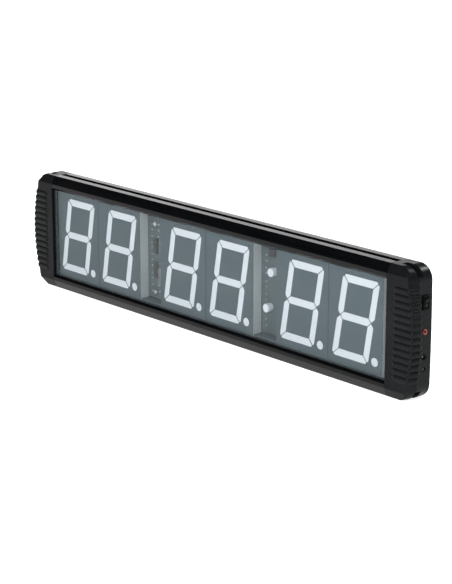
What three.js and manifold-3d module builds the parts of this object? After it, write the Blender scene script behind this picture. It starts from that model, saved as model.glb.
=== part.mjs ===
// Gym round timer: a wide wall clock with six 4-inch LED digits behind a tinted window.
// Millimetres, +Z up. X runs along the clock, the front faces -Y, and the origin is at the
// bottom centre of the whole object.
import * as THREE from "three";
import { mergeVertices } from "three/addons/utils/BufferGeometryUtils.js";
import Module from "manifold-3d";

const wasm = await Module();
wasm.setup();

// ---- driving dimensions -------------------------------------------------------------------
const GAP = 0.3; // left between pieces that touch
const PAST = 5; // how far a cutting body runs past what it cuts
const CASE_HEIGHT = 158;
const CASE_DEPTH = 35;
const RIB_HEIGHT = 1.5;
const FRONT = RIB_HEIGHT - (CASE_DEPTH + RIB_HEIGHT) / 2; // y of the flat front
const REAR = FRONT + CASE_DEPTH; // y of the flat back
const BEVEL_TALL = 11; // the long steep bevels on the front's top and bottom edges
const BEVEL_DEEP = 5.5;
const BEVEL_LENGTH = Math.hypot(BEVEL_TALL, BEVEL_DEEP);
const WINDOW_HALF = 320.5;
const WINDOW_LOW = 18.5;
const WINDOW_HIGH = 138.8;
const LIP = 3.5; // how far the window lies behind the front, and the lip's overlap on it
const RAIL_WALL = 2.2;
const PANE_THICK = 3;
const GASKET_THICK = 1.25;

// end caps
const CAP_WALL = 3;
const CORNER_RADIUS = 18;
const CAP_HALF_FRONT = 353.5;
const CAP_HALF_REAR = 358.7;
const CAP_BOW_FRONT = 9; // how far the ends swell at mid-height
const CAP_BOW_STEP = 6;
const CAP_BOW_REAR = 0.6;
const CAP_STEP = FRONT + 13.5; // y where the ribbed front part ends
const RIB_COUNT = 14;
const RIB_PITCH = 8;
const RIB_WIDTH = 4.4;
const RIB_START = 332.5;
const NOTCH_DEPTH = 5;
const NOTCH_START = 332;
const NOTCH_FRONT = FRONT + 12;
const NOTCH_REAR = FRONT + 21.5;
const NOTCH_DROP = 12; // how far a notch runs round the corner, down the end
const NOTCH_WALL = 2;

// the slot along the rails that takes a hanging hook
const SLOT_WIDTH = 8;
const SLOT_DEPTH = 6.5;
const SLOT_FRONT = FRONT + 16;
const SLOT_REAR = SLOT_FRONT + SLOT_WIDTH;

// digits
const DIGIT_MID = 79.5;
const DIGIT_HEIGHT = 101.6;
const DIGIT_WIDTH = 59.8;
const STROKE = 9.2;
const STROKE_GAP = 0.7; // half of the dark line between two strokes
const DIGIT_SLANT = 0.172;
const CORNER_CUT = 4; // chamfer on a digit's outer corners
const POINT_ACROSS = 32.1;
const POINT_DOWN = -45.1;
const POINT_RADIUS = 5.3;
const MODULE_WIDTH = 90;
const MODULE_HEIGHT = 122;
const MODULE_DEPTH = 13.7;
const MODULE_WALL = 1.6;
const MODULE_FACE_THICK = 2;
const DIGIT_PITCH = 91;
const PAIR_PITCH = 222.75;
const BLOCK_OFFSET = -3.9; // the digits' middle, left of the case's middle
const DIGIT_FACE = FRONT + 8;

// boards
const BOARD_THICK = 1.6;
const DISPLAY_BOARD_FRONT = DIGIT_FACE + MODULE_DEPTH + GAP;
const DISPLAY_BOARD_REAR = DISPLAY_BOARD_FRONT + BOARD_THICK;
const DISPLAY_BOARD_HEIGHT = 114;
const PANEL_THICK = 1.5;
const PANEL_INSET = 2.4; // keeps the screw heads clear of the wall
const CONTROL_BOARD_FRONT = 0.15;
const CONTROL_BOARD_REAR = CONTROL_BOARD_FRONT + BOARD_THICK;
const CONTROL_FACE = CONTROL_BOARD_REAR + GAP; // where the parts on the control board start

// the row of controls on the right end
const CONTROL_ROW = 6.8; // their common y
const SIDE_FACE = CAP_HALF_REAR;
const SWITCH_HEIGHT = 116.3;
const AUDIO_HEIGHT = 82;
const INLET_HEIGHT = 52;
const BUTTON_HEIGHT = 37.5;

// ---- geometry helpers ---------------------------------------------------------------------
const solidOf = (geometry) => {
  const bare = geometry.clone();
  bare.deleteAttribute("normal");
  bare.deleteAttribute("uv");
  const merged = mergeVertices(bare, 1e-4);
  return new wasm.Manifold(
    new wasm.Mesh({
      numProp: 3,
      vertProperties: new Float32Array(merged.attributes.position.array),
      triVerts: new Uint32Array(merged.index.array),
    }),
  );
};

const geometryOf = (solid) => {
  const mesh = solid.getMesh();
  const geometry = new THREE.BufferGeometry();
  geometry.setAttribute("position", new THREE.BufferAttribute(mesh.vertProperties, 3));
  geometry.setIndex(new THREE.BufferAttribute(mesh.triVerts, 1));
  geometry.computeVertexNormals();
  return geometry;
};

const cut = (base, ...tools) => tools.reduce((solid, tool) => solid.subtract(tool), base);
const join = (base, ...others) => others.reduce((solid, other) => solid.add(other), base);

const shapeOf = (points) => new THREE.Shape(points.map(([u, v]) => new THREE.Vector2(u, v)));

// An outline in Y and Z, run along X.
const alongX = (shape, low, high, curveSegments = 6) => {
  const geometry = new THREE.ExtrudeGeometry(shape, {
    depth: high - low,
    bevelEnabled: false,
    curveSegments,
  });
  geometry.applyMatrix4(new THREE.Matrix4().set(0, 0, 1, low, 1, 0, 0, 0, 0, 1, 0, 0, 0, 0, 0, 1));
  return geometry;
};

// An outline in X and Z, run along Y.
const alongY = (shape, low, high, curveSegments = 6) => {
  const geometry = new THREE.ExtrudeGeometry(shape, {
    depth: high - low,
    bevelEnabled: false,
    curveSegments,
  });
  geometry.applyMatrix4(new THREE.Matrix4().set(1, 0, 0, 0, 0, 0, -1, high, 0, 1, 0, 0, 0, 0, 0, 1));
  return geometry;
};

const box = (low, high) => {
  const size = high.map((value, axis) => value - low[axis]);
  const geometry = new THREE.BoxGeometry(...size);
  geometry.translate(...low.map((value, axis) => value + size[axis] / 2));
  return geometry;
};

// A round bar whose axis runs along X or Y from low to high.
const barAlongX = (radius, low, high, [y, z], sides = 16) => {
  const geometry = new THREE.CylinderGeometry(radius, radius, high - low, sides);
  geometry.rotateZ(Math.PI / 2);
  geometry.translate((low + high) / 2, y, z);
  return geometry;
};
const barAlongY = (radius, low, high, [x, z], sides = 16) => {
  const geometry = new THREE.CylinderGeometry(radius, radius, high - low, sides);
  geometry.translate(x, (low + high) / 2, z);
  return geometry;
};

// A closed body through outlines of equal point count, each in X and Z at its own y, front first.
const loft = (sections) => {
  const count = sections[0].points.length;
  const positions = sections.flatMap(({ y, points }) => points.flatMap(([x, z]) => [x, y, z]));
  const faces = [];
  for (let level = 0; level + 1 < sections.length; level += 1) {
    for (let i = 0; i < count; i += 1) {
      const a = level * count + i;
      const b = level * count + ((i + 1) % count);
      faces.push(a, a + count, b, b, a + count, b + count);
    }
  }
  const capFaces = (points) =>
    THREE.ShapeUtils.triangulateShape(points.map(([x, z]) => new THREE.Vector2(x, z)), []);
  const last = (sections.length - 1) * count;
  capFaces(sections[0].points).forEach(([a, b, c]) => faces.push(a, b, c));
  capFaces(sections.at(-1).points).forEach(([a, b, c]) => faces.push(last + a, last + c, last + b));
  const geometry = new THREE.BufferGeometry();
  geometry.setAttribute("position", new THREE.Float32BufferAttribute(positions, 3));
  geometry.setIndex(faces);
  return geometry;
};

// ---- materials ----------------------------------------------------------------------------
const material = (color, roughness, metalness = 0, extra = {}) =>
  new THREE.MeshStandardMaterial({ color, roughness, metalness, ...extra });

const materials = {
  anodised: material(0x17181a, 0.32, 0.7),
  capPlastic: material(0x232528, 0.55),
  backSteel: material(0x1d1e20, 0.6, 0.4),
  smokedAcrylic: material(0x2b3438, 0.06, 0, { transparent: true, opacity: 0.35 }),
  foam: material(0x101011, 0.95),
  moduleGrey: material(0x59666b, 0.6),
  segmentWhite: material(0xdfe8f0, 0.45),
  lampWhite: material(0xd5dce2, 0.35),
  boardGreen: material(0x26382f, 0.5),
  chipBlack: material(0x141416, 0.45),
  plated: material(0xb9bdc1, 0.3, 0.9),
  screwBlack: material(0x1b1b1d, 0.4, 0.8),
  orangePlastic: material(0xd9582a, 0.4),
  socketBlack: material(0x0d0d0e, 0.4),
  leadRed: material(0xa3221c, 0.5),
  leadBlack: material(0x151515, 0.5),
};

const timer = new THREE.Group();
const place = (name, geometry, finish, parent = timer) => {
  const mesh = new THREE.Mesh(geometry, finish);
  mesh.name = name;
  parent.add(mesh);
  return mesh;
};

// ---- the case: two extruded rails and two moulded end caps -------------------------------
// The case's outline in Y and Z, drawn in by one wall thickness and with its two front bevels.
const caseSection = (inset, frontInset = inset) => {
  const front = FRONT + frontInset;
  const rear = REAR - inset;
  const high = CASE_HEIGHT - inset;
  const drop = BEVEL_TALL * (1 - frontInset / BEVEL_DEEP) + inset * (BEVEL_LENGTH / BEVEL_DEEP);
  const bevelAtFront = CASE_HEIGHT - drop;
  const bevelAtTop = FRONT + BEVEL_DEEP + inset * ((BEVEL_LENGTH - BEVEL_DEEP) / BEVEL_TALL);
  return shapeOf([
    [front, CASE_HEIGHT - bevelAtFront],
    [bevelAtTop, inset],
    [rear, inset],
    [rear, high],
    [bevelAtTop, high],
    [front, bevelAtFront],
  ]);
};

// A rail's outline in Y and Z, drawn for the top rail: the lip over the window, the bevel, the
// hook slot, the rear flange that takes the back panel, and the fin behind the window.
const FLANGE_DEPTH = 8;
const FLANGE_LOW = WINDOW_HIGH + 2.2;
const FIN_FRONT = FRONT + LIP + PANE_THICK + GASKET_THICK + 3 * GAP;
const FIN_THICK = 1.6;
const LIP_STEP = 1.5; // height of the lip's flat edge behind the front
const PANEL_REAR = REAR - PANEL_INSET;
const PANEL_SEAT = PANEL_REAR - PANEL_THICK - GAP; // the flange's rear face
const railOutline = () => {
  const top = CASE_HEIGHT;
  const inside = top - RAIL_WALL;
  const bevelLow = top - BEVEL_TALL;
  const slotFloor = top - SLOT_DEPTH;
  const web = slotFloor - RAIL_WALL;
  const skinTop = FRONT + BEVEL_DEEP + RAIL_WALL * ((BEVEL_LENGTH - BEVEL_DEEP) / BEVEL_TALL);
  const skinLow = bevelLow - RAIL_WALL * ((BEVEL_LENGTH - BEVEL_TALL) / BEVEL_DEEP);
  const lipRear = FRONT + LIP;
  const skinInside = FRONT + RAIL_WALL;
  return shapeOf([
    [lipRear, WINDOW_HIGH],
    [FRONT, WINDOW_HIGH + LIP],
    [FRONT, bevelLow],
    [FRONT + BEVEL_DEEP, top],
    [SLOT_FRONT, top],
    [SLOT_FRONT, slotFloor],
    [SLOT_REAR, slotFloor],
    [SLOT_REAR, top],
    [REAR, top],
    [REAR, top - FLANGE_DEPTH],
    [PANEL_SEAT, top - FLANGE_DEPTH],
    [PANEL_SEAT, FLANGE_LOW],
    [PANEL_SEAT - RAIL_WALL, FLANGE_LOW],
    [PANEL_SEAT - RAIL_WALL, inside],
    [SLOT_REAR + RAIL_WALL, inside],
    [SLOT_REAR + RAIL_WALL, web],
    [FIN_FRONT + FIN_THICK, web],
    [FIN_FRONT + FIN_THICK, FLANGE_LOW],
    [FIN_FRONT, FLANGE_LOW],
    [FIN_FRONT, web + FIN_THICK],
    [SLOT_FRONT - RAIL_WALL, web + FIN_THICK],
    [SLOT_FRONT - RAIL_WALL, inside],
    [skinTop, inside],
    [skinInside, skinLow],
    [skinInside, WINDOW_HIGH + LIP + LIP_STEP],
    [lipRear, WINDOW_HIGH + LIP + LIP_STEP],
  ]);
};
const RAIL_HALF = WINDOW_HALF - GAP / 2;
place("top_rail", alongX(railOutline(), -RAIL_HALF, RAIL_HALF), materials.anodised);
const bottomRail = alongX(railOutline(), -RAIL_HALF, RAIL_HALF);
bottomRail.applyMatrix4(
  new THREE.Matrix4().makeTranslation(0, 0, CASE_HEIGHT / 2)
    .multiply(new THREE.Matrix4().set(-1, 0, 0, 0, 0, 1, 0, 0, 0, 0, -1, 0, 0, 0, 0, 1))
    .multiply(new THREE.Matrix4().makeTranslation(0, 0, -CASE_HEIGHT / 2)),
);
place("bottom_rail", bottomRail, materials.anodised);

// The end cap's outline in X and Z, from the seam out, with round corners and a bowed end.
const CORNER_STEPS = 5;
const BOW_STEPS = 8;
const CAP_SEAM = WINDOW_HALF + GAP / 2;
const capOutline = (half, bow, inset = 0, seam = CAP_SEAM) => {
  const radius = CORNER_RADIUS - inset;
  const edge = half - inset;
  const low = inset;
  const high = CASE_HEIGHT - inset;
  const points = [[seam, low]];
  for (let i = 0; i <= CORNER_STEPS; i += 1) {
    const angle = -Math.PI / 2 + (i / CORNER_STEPS) * (Math.PI / 2);
    points.push([
      edge - radius + radius * Math.cos(angle),
      low + radius + radius * Math.sin(angle),
    ]);
  }
  for (let i = 1; i < BOW_STEPS; i += 1) {
    const along = i / BOW_STEPS;
    const swell = bow * 4 * along * (1 - along);
    points.push([edge + swell, low + radius + along * (high - low - 2 * radius)]);
  }
  for (let i = 0; i <= CORNER_STEPS; i += 1) {
    const angle = (i / CORNER_STEPS) * (Math.PI / 2);
    points.push([
      edge - radius + radius * Math.cos(angle),
      high - radius + radius * Math.sin(angle),
    ]);
  }
  points.push([seam, high]);
  return points;
};

// The bar that each rib is cut from.
const capRib = (index) => {
  const middle = CASE_HEIGHT / 2 + (index - (RIB_COUNT - 1) / 2) * RIB_PITCH;
  return solidOf(
    box(
      [RIB_START, FRONT - 2 * RIB_HEIGHT, middle - RIB_WIDTH / 2],
      [CAP_HALF_REAR + 2 * CAP_BOW_FRONT, CAP_STEP, middle + RIB_WIDTH / 2],
    ),
  );
};

// A notch runs round each corner of a cap, a little in front of the rails' hook slot.
const notchHeights = (drop) => [[-PAST, drop], [CASE_HEIGHT - drop, CASE_HEIGHT + PAST]];
const notchFloor = solidOf(alongY(
  shapeOf(capOutline(CAP_HALF_REAR, CAP_BOW_REAR, NOTCH_DEPTH, NOTCH_START - PAST)),
  NOTCH_FRONT - GAP,
  NOTCH_REAR + GAP,
));
const notches = notchHeights(NOTCH_DROP).map(([low, high]) =>
  solidOf(box([NOTCH_START, NOTCH_FRONT, low], [CAP_HALF_REAR + PAST, NOTCH_REAR, high]))
    .subtract(notchFloor),
);
const notchBlocks = notchHeights(NOTCH_DROP + NOTCH_WALL).map(([low, high]) =>
  solidOf(box(
    [NOTCH_START - NOTCH_WALL, NOTCH_FRONT - NOTCH_WALL, low],
    [CAP_HALF_REAR + PAST, NOTCH_REAR + NOTCH_WALL, high],
  )),
);

// The right-hand cap's shell; the left-hand one is its mirror image.
const CAP_OVERLAP = 3; // how far the flat rear part of a cap runs into its ribbed front part
const capShell = () => {
  const section = (inset, frontInset) =>
    solidOf(alongX(caseSection(inset, frontInset), CAP_SEAM - PAST, CAP_HALF_REAR + 4 * PAST));
  const frontPart = solidOf(
    loft([
      { y: FRONT, points: capOutline(CAP_HALF_FRONT, CAP_BOW_FRONT) },
      { y: CAP_STEP, points: capOutline(CAP_HALF_REAR, CAP_BOW_STEP) },
    ]),
  );
  const rearPart = solidOf(
    loft([
      { y: CAP_STEP - CAP_OVERLAP, points: capOutline(CAP_HALF_REAR, CAP_BOW_REAR) },
      { y: REAR, points: capOutline(CAP_HALF_REAR, CAP_BOW_REAR) },
    ]),
  );
  const hollow = cut(
    solidOf(
      alongY(
        shapeOf(capOutline(CAP_HALF_REAR - 1, 0, CAP_WALL, CAP_SEAM - PAST)),
        FRONT + LIP,
        REAR - CAP_WALL,
      ),
    ).intersect(section(CAP_WALL, LIP)),
    ...notchBlocks,
  );
  const ribBody = solidOf(
    loft([
      { y: FRONT - RIB_HEIGHT, points: capOutline(CAP_HALF_FRONT + RIB_HEIGHT / 2, CAP_BOW_FRONT) },
      { y: FRONT, points: capOutline(CAP_HALF_FRONT + RIB_HEIGHT, CAP_BOW_FRONT) },
      { y: CAP_STEP, points: capOutline(CAP_HALF_REAR + RIB_HEIGHT, CAP_BOW_STEP) },
    ]),
  );
  const bars = join(...Array.from({ length: RIB_COUNT }, (_, index) => capRib(index)));
  const outer = join(frontPart, rearPart).intersect(section(0));
  return cut(join(outer, bars.intersect(ribBody)), hollow, ...notches);
};

// Each cap is held by two screws from behind, which reach a flat joiner in each rail's end.
const CAP_SCREW_ACROSS = 336;
const SHANK_HOLE = 1.9; // radii
const HEAD_HOLE = 3.9;
const BOSS_RADIUS = 4.6;
const JOINER_ENDS = [295, 344];
const JOINER_REAR = PANEL_SEAT - RAIL_WALL - GAP;
const JOINER_FRONT = SLOT_REAR + RAIL_WALL + GAP;
const JOINER_LOW = 143; // height of the upper joiners' lower edge
const JOINER_HIGH = CASE_HEIGHT - CAP_WALL - 0.8;
const JOINER_MID = (JOINER_LOW + JOINER_HIGH) / 2;
const capScrewHeights = [CASE_HEIGHT - JOINER_MID, JOINER_MID];
const capBosses = capScrewHeights.map((z) =>
  solidOf(barAlongY(BOSS_RADIUS, JOINER_REAR + GAP, REAR - CAP_WALL + 1, [CAP_SCREW_ACROSS, z])),
);
const capScrewHoles = capScrewHeights.flatMap((z) => [
  solidOf(barAlongY(SHANK_HOLE, JOINER_FRONT, REAR + PAST, [CAP_SCREW_ACROSS, z], 12)),
  solidOf(barAlongY(HEAD_HOLE, PANEL_REAR, REAR + PAST, [CAP_SCREW_ACROSS, z])),
]);
const SWITCH_CUT = [9, 14.4]; // across and up
const AUDIO_HOLE = 3.45; // radii
const INLET_HOLE = 3.4;
const BUTTON_HOLE = 2.6;
const holeLow = SIDE_FACE - CAP_WALL - PAST;
const holeHigh = SIDE_FACE + PAST;
const sideHoles = [
  solidOf(box(
    [holeLow, CONTROL_ROW - SWITCH_CUT[0] / 2, SWITCH_HEIGHT - SWITCH_CUT[1] / 2],
    [holeHigh, CONTROL_ROW + SWITCH_CUT[0] / 2, SWITCH_HEIGHT + SWITCH_CUT[1] / 2],
  )),
  ...[[AUDIO_HOLE, AUDIO_HEIGHT], [INLET_HOLE, INLET_HEIGHT], [BUTTON_HOLE, BUTTON_HEIGHT]].map(
    ([radius, z]) => solidOf(barAlongX(radius, holeLow, holeHigh, [CONTROL_ROW, z], 20)),
  ),
];
const rightShell = cut(join(capShell(), ...capBosses), ...capScrewHoles);
const leftShell = rightShell.mirror([1, 0, 0]);
place("end_cap_right", geometryOf(cut(rightShell, ...sideHoles)), materials.capPlastic);
place("end_cap_left", geometryOf(leftShell), materials.capPlastic);

// ---- the window and its gasket ------------------------------------------------------------
const paneFront = FRONT + LIP + GAP;
const paneHalf = WINDOW_HALF + LIP;
const paneLow = WINDOW_LOW - LIP;
const paneHigh = WINDOW_HIGH + LIP;
place(
  "window_pane",
  box([-paneHalf, paneFront, paneLow], [paneHalf, paneFront + PANE_THICK, paneHigh]),
  materials.smokedAcrylic,
);
const GASKET_REVEAL = [0.7, 2.3]; // how far the gasket's hole clears the window, below and above
const gasketFront = paneFront + PANE_THICK + GAP;
const gasketOutline = shapeOf([
  [-paneHalf, paneLow],
  [paneHalf, paneLow],
  [paneHalf, paneHigh],
  [-paneHalf, paneHigh],
]);
const gasketHole = new THREE.Path([
  new THREE.Vector2(-WINDOW_HALF, WINDOW_LOW - GASKET_REVEAL[0]),
  new THREE.Vector2(-WINDOW_HALF, WINDOW_HIGH + GASKET_REVEAL[1]),
  new THREE.Vector2(WINDOW_HALF, WINDOW_HIGH + GASKET_REVEAL[1]),
  new THREE.Vector2(WINDOW_HALF, WINDOW_LOW - GASKET_REVEAL[0]),
]);
gasketOutline.holes.push(gasketHole);
place("pane_gasket", alongY(gasketOutline, gasketFront, gasketFront + GASKET_THICK), materials.foam);

// ---- the back panel, with two keyholes and two groups of vents ----------------------------
const panelHalf = RAIL_HALF - 1;
const panelLow = FLANGE_DEPTH + GAP;
const panelHigh = CASE_HEIGHT - FLANGE_DEPTH - GAP;
const KEYHOLE_ACROSS = 200;
const KEYHOLE_HEIGHT = 112;
const KEYHOLE_RADIUS = 5;
const KEYHOLE_SLOT = 2.6; // half of the slot's width
const KEYHOLE_RISE = 11; // from the round part's centre to the slot's
const PANEL_SCREW_ACROSS = 280;
const VENT_ACROSS = 90;
const VENT_LOW = 45;
const VENT_HALF = 14; // from the middle of a vent to the centre of its round end
const VENT_RADIUS = 1.5;
const VENT_PITCH = 9;
const VENTS_PER_GROUP = 6;
const keyhole = (x) => {
  const outline = new THREE.Path();
  const shoulder = Math.sqrt(KEYHOLE_RADIUS ** 2 - KEYHOLE_SLOT ** 2);
  const start = Math.atan2(shoulder, KEYHOLE_SLOT);
  outline.absarc(x, KEYHOLE_HEIGHT, KEYHOLE_RADIUS, start, Math.PI - start, true);
  outline.absarc(x, KEYHOLE_HEIGHT + KEYHOLE_RISE, KEYHOLE_SLOT, Math.PI, 0, true);
  outline.closePath();
  return outline;
};
const vent = (x, z) => {
  const outline = new THREE.Path();
  outline.absarc(x + VENT_HALF, z, VENT_RADIUS, Math.PI / 2, -Math.PI / 2, true);
  outline.absarc(x - VENT_HALF, z, VENT_RADIUS, -Math.PI / 2, -Math.PI * 1.5, true);
  outline.closePath();
  return outline;
};
const panelOutline = shapeOf([
  [-panelHalf, panelLow],
  [panelHalf, panelLow],
  [panelHalf, panelHigh],
  [-panelHalf, panelHigh],
]);
panelOutline.holes.push(keyhole(-KEYHOLE_ACROSS), keyhole(KEYHOLE_ACROSS));
for (const side of [-1, 1]) {
  for (let i = 0; i < VENTS_PER_GROUP; i += 1) {
    panelOutline.holes.push(vent(side * VENT_ACROSS, VENT_LOW + i * VENT_PITCH));
  }
}
const panelScrewPlaces = [-1, 1].flatMap((side) => [
  [side * PANEL_SCREW_ACROSS, FLANGE_LOW + 4.5],
  [side * PANEL_SCREW_ACROSS, CASE_HEIGHT - FLANGE_LOW - 4.5],
]);
const panelHoles = panelScrewPlaces.map(([x, z]) =>
  solidOf(barAlongY(SHANK_HOLE, PANEL_SEAT, REAR, [x, z], 12)),
);
const panelGeometry = alongY(panelOutline, PANEL_REAR - PANEL_THICK, PANEL_REAR, 5);
place("back_panel", geometryOf(cut(solidOf(panelGeometry), ...panelHoles)), materials.backSteel);

// A pan-head screw along Y: its head is at headY and its shank runs towards tipY.
const HEAD_HEIGHT = 1.8;
const screwGeometry = ([x, z], headY, tipY, headRadius = 3.4, shankRadius = 1.5) => {
  const away = Math.sign(headY - tipY);
  const profile = [
    [0, tipY],
    [shankRadius, tipY],
    [shankRadius, headY],
    [headRadius, headY],
    [headRadius * 0.8, headY + away * HEAD_HEIGHT * 0.72],
    [0, headY + away * HEAD_HEIGHT],
  ].map(([radius, along]) => new THREE.Vector2(radius, along));
  const geometry = new THREE.LatheGeometry(away > 0 ? profile : profile.reverse(), 12);
  geometry.translate(x, 0, z);
  return geometry;
};
panelScrewPlaces.forEach((spot, index) => {
  const geometry = screwGeometry(spot, PANEL_REAR + GAP, PANEL_REAR - PANEL_THICK);
  place(`panel_screw_${index + 1}`, geometry, materials.screwBlack);
});
[-1, 1].flatMap((side) => capScrewHeights.map((z) => [side, z])).forEach(([side, z], index) => {
  const screw = screwGeometry([side * CAP_SCREW_ACROSS, z], PANEL_REAR + GAP, JOINER_REAR + GAP);
  place(`cap_screw_${index + 1}`, screw, materials.screwBlack);
  const upper = z > CASE_HEIGHT / 2;
  const heights = [JOINER_LOW, JOINER_HIGH].map((v) => (upper ? v : CASE_HEIGHT - v));
  const ends = JOINER_ENDS.map((x) => side * x);
  const joiner = box(
    [Math.min(...ends), JOINER_FRONT, Math.min(...heights)],
    [Math.max(...ends), JOINER_REAR, Math.max(...heights)],
  );
  place(`rail_joiner_${index + 1}`, joiner, materials.plated);
});

// ---- the six digit modules ----------------------------------------------------------------
// Each stroke's outline about the digit's centre, before the slant.
const strokes = () => {
  const halfWidth = DIGIT_WIDTH / 2;
  const halfHeight = DIGIT_HEIGHT / 2;
  const innerX = halfWidth - STROKE;
  const innerZ = halfHeight - STROKE;
  const cutMid = CORNER_CUT / 2;
  const gap = STROKE_GAP;
  const tip = STROKE / 2;
  const top = [
    [-innerX + gap, innerZ],
    [innerX - gap, innerZ],
    [halfWidth - cutMid - gap, halfHeight - cutMid],
    [halfWidth - CORNER_CUT - gap, halfHeight],
    [-halfWidth + CORNER_CUT + gap, halfHeight],
    [-halfWidth + cutMid + gap, halfHeight - cutMid],
  ];
  const upperLeft = [
    [-halfWidth + tip, gap],
    [-innerX, tip + gap],
    [-innerX, innerZ - gap],
    [-halfWidth + cutMid, halfHeight - cutMid - gap],
    [-halfWidth, halfHeight - CORNER_CUT - gap],
    [-halfWidth, tip + gap],
  ];
  const middle = [
    [-innerX + gap, -tip],
    [innerX - gap, -tip],
    [halfWidth - tip - gap, 0],
    [innerX - gap, tip],
    [-innerX + gap, tip],
    [-halfWidth + tip + gap, 0],
  ];
  const flip = (outline, sx, sz) => {
    const flipped = outline.map(([x, z]) => [sx * x, sz * z]);
    return sx * sz < 0 ? flipped.reverse() : flipped;
  };
  return [
    top,
    middle,
    flip(top, 1, -1),
    upperLeft,
    flip(upperLeft, -1, 1),
    flip(upperLeft, 1, -1),
    flip(upperLeft, -1, -1),
  ].map((outline) => outline.map(([x, z]) => [x + DIGIT_SLANT * z, z]));
};

// Moves each edge of a convex outline outwards by the same distance.
const grow = (outline, distance) =>
  outline.map(([x, z], index) => {
    const before = outline.at(index - 1);
    const after = outline[(index + 1) % outline.length];
    const normal = (from, to) => {
      const length = Math.hypot(to[0] - from[0], to[1] - from[1]);
      return [(to[1] - from[1]) / length, (from[0] - to[0]) / length];
    };
    const first = normal(before, [x, z]);
    const second = normal([x, z], after);
    const scale = distance / (1 + first[0] * second[0] + first[1] * second[1]);
    return [x + scale * (first[0] + second[0]), z + scale * (first[1] + second[1])];
  });

const WELL_GAP = 0.12; // between a stroke and the well that it fills
const STROKE_SUNK = 0.2; // how far the strokes lie behind the module's face
const LIGHT_BOARD_THICK = 1.4;
const moduleHousing = () => {
  const half = MODULE_WIDTH / 2;
  const tall = MODULE_HEIGHT / 2;
  const rear = DIGIT_FACE + MODULE_DEPTH;
  const wells = strokes().map((outline) =>
    solidOf(alongY(shapeOf(grow(outline, WELL_GAP)), DIGIT_FACE - 1, rear)),
  );
  const point = barAlongY(
    POINT_RADIUS + WELL_GAP, DIGIT_FACE - 1, rear, [POINT_ACROSS, POINT_DOWN], 16,
  );
  const inside = box(
    [-half + MODULE_WALL, DIGIT_FACE + MODULE_FACE_THICK, -tall + MODULE_WALL],
    [half - MODULE_WALL, rear + 1, tall - MODULE_WALL],
  );
  const shell = box([-half, DIGIT_FACE, -tall], [half, rear, tall]);
  return geometryOf(cut(solidOf(shell), solidOf(inside), ...wells, solidOf(point)));
};
const moduleLight = () => {
  const half = MODULE_WIDTH / 2 - MODULE_WALL - GAP;
  const tall = MODULE_HEIGHT / 2 - MODULE_WALL - GAP;
  const rear = DIGIT_FACE + MODULE_DEPTH - GAP;
  const front = DIGIT_FACE + STROKE_SUNK;
  const into = rear - LIGHT_BOARD_THICK / 2;
  const blocks = strokes().map((outline) => solidOf(alongY(shapeOf(outline), front, into)));
  const point = barAlongY(POINT_RADIUS, front, into, [POINT_ACROSS, POINT_DOWN], 16);
  const board = box([-half, rear - LIGHT_BOARD_THICK, -tall], [half, rear, tall]);
  return geometryOf(join(solidOf(board), ...blocks, solidOf(point)));
};
const digitPlace = (index) =>
  BLOCK_OFFSET + (Math.floor(index / 2) - 1) * PAIR_PITCH + ((index % 2) - 0.5) * DIGIT_PITCH;
const housingGeometry = moduleHousing();
const lightGeometry = moduleLight();
for (let index = 0; index < 6; index += 1) {
  const digit = new THREE.Group();
  digit.position.set(digitPlace(index), 0, DIGIT_MID);
  place(`digit_${index + 1}_housing`, housingGeometry, materials.moduleGrey, digit);
  place(`digit_${index + 1}_segments`, lightGeometry, materials.segmentWhite, digit);
  timer.add(digit);
}

// ---- the display board, its parts in the gaps, and the two colon lamps --------------------
const firstGap = BLOCK_OFFSET - PAIR_PITCH / 2;
const secondGap = BLOCK_OFFSET + PAIR_PITCH / 2;
const boardHalf = PAIR_PITCH + DIGIT_PITCH / 2 + MODULE_WIDTH / 2 - 1;
const boardLow = DIGIT_MID - DISPLAY_BOARD_HEIGHT / 2;
const boardFixingHeights = [DIGIT_MID + 43, DIGIT_MID - 49];
const boardScrewPlaces = boardFixingHeights.map((z) => [firstGap - 6, z]);
const farStandoffPlaces = boardFixingHeights.map((z) => [BLOCK_OFFSET + 255, z]);
const boardHoles = [...boardScrewPlaces, ...farStandoffPlaces].map((spot) =>
  solidOf(barAlongY(SHANK_HOLE, DISPLAY_BOARD_FRONT - GAP, DISPLAY_BOARD_REAR + GAP, spot, 12)),
);
const displayBoard = box(
  [BLOCK_OFFSET - boardHalf, DISPLAY_BOARD_FRONT, boardLow],
  [BLOCK_OFFSET + boardHalf, DISPLAY_BOARD_REAR, boardLow + DISPLAY_BOARD_HEIGHT],
);
place("display_board", geometryOf(cut(solidOf(displayBoard), ...boardHoles)), materials.boardGreen);

boardScrewPlaces.forEach((spot, index) => {
  const head = DISPLAY_BOARD_FRONT - GAP;
  const tip = DISPLAY_BOARD_REAR - 0.2;
  const geometry = screwGeometry(spot, head, tip, 3.2, 1.4);
  place(`board_screw_${index + 1}`, geometry, materials.plated);
});
[...boardScrewPlaces, ...farStandoffPlaces].forEach((spot, index) => {
  const low = DISPLAY_BOARD_REAR + GAP;
  const high = PANEL_REAR - PANEL_THICK - GAP;
  place(`board_standoff_${index + 1}`, barAlongY(3, low, high, spot, 6), materials.plated);
});

const chipBlock = (x, z, width, height, thick = 2.4) =>
  box(
    [x - width / 2, DISPLAY_BOARD_FRONT - GAP - thick, z - height / 2],
    [x + width / 2, DISPLAY_BOARD_FRONT - GAP, z + height / 2],
  );
place("driver_chip_1", chipBlock(firstGap - 3, DIGIT_MID + 14, 10, 20), materials.chipBlack);
place("driver_chip_2", chipBlock(firstGap - 3, DIGIT_MID - 18, 10, 20), materials.chipBlack);
place("driver_chip_3", chipBlock(secondGap, DIGIT_MID + 47, 14, 10), materials.chipBlack);

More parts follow.
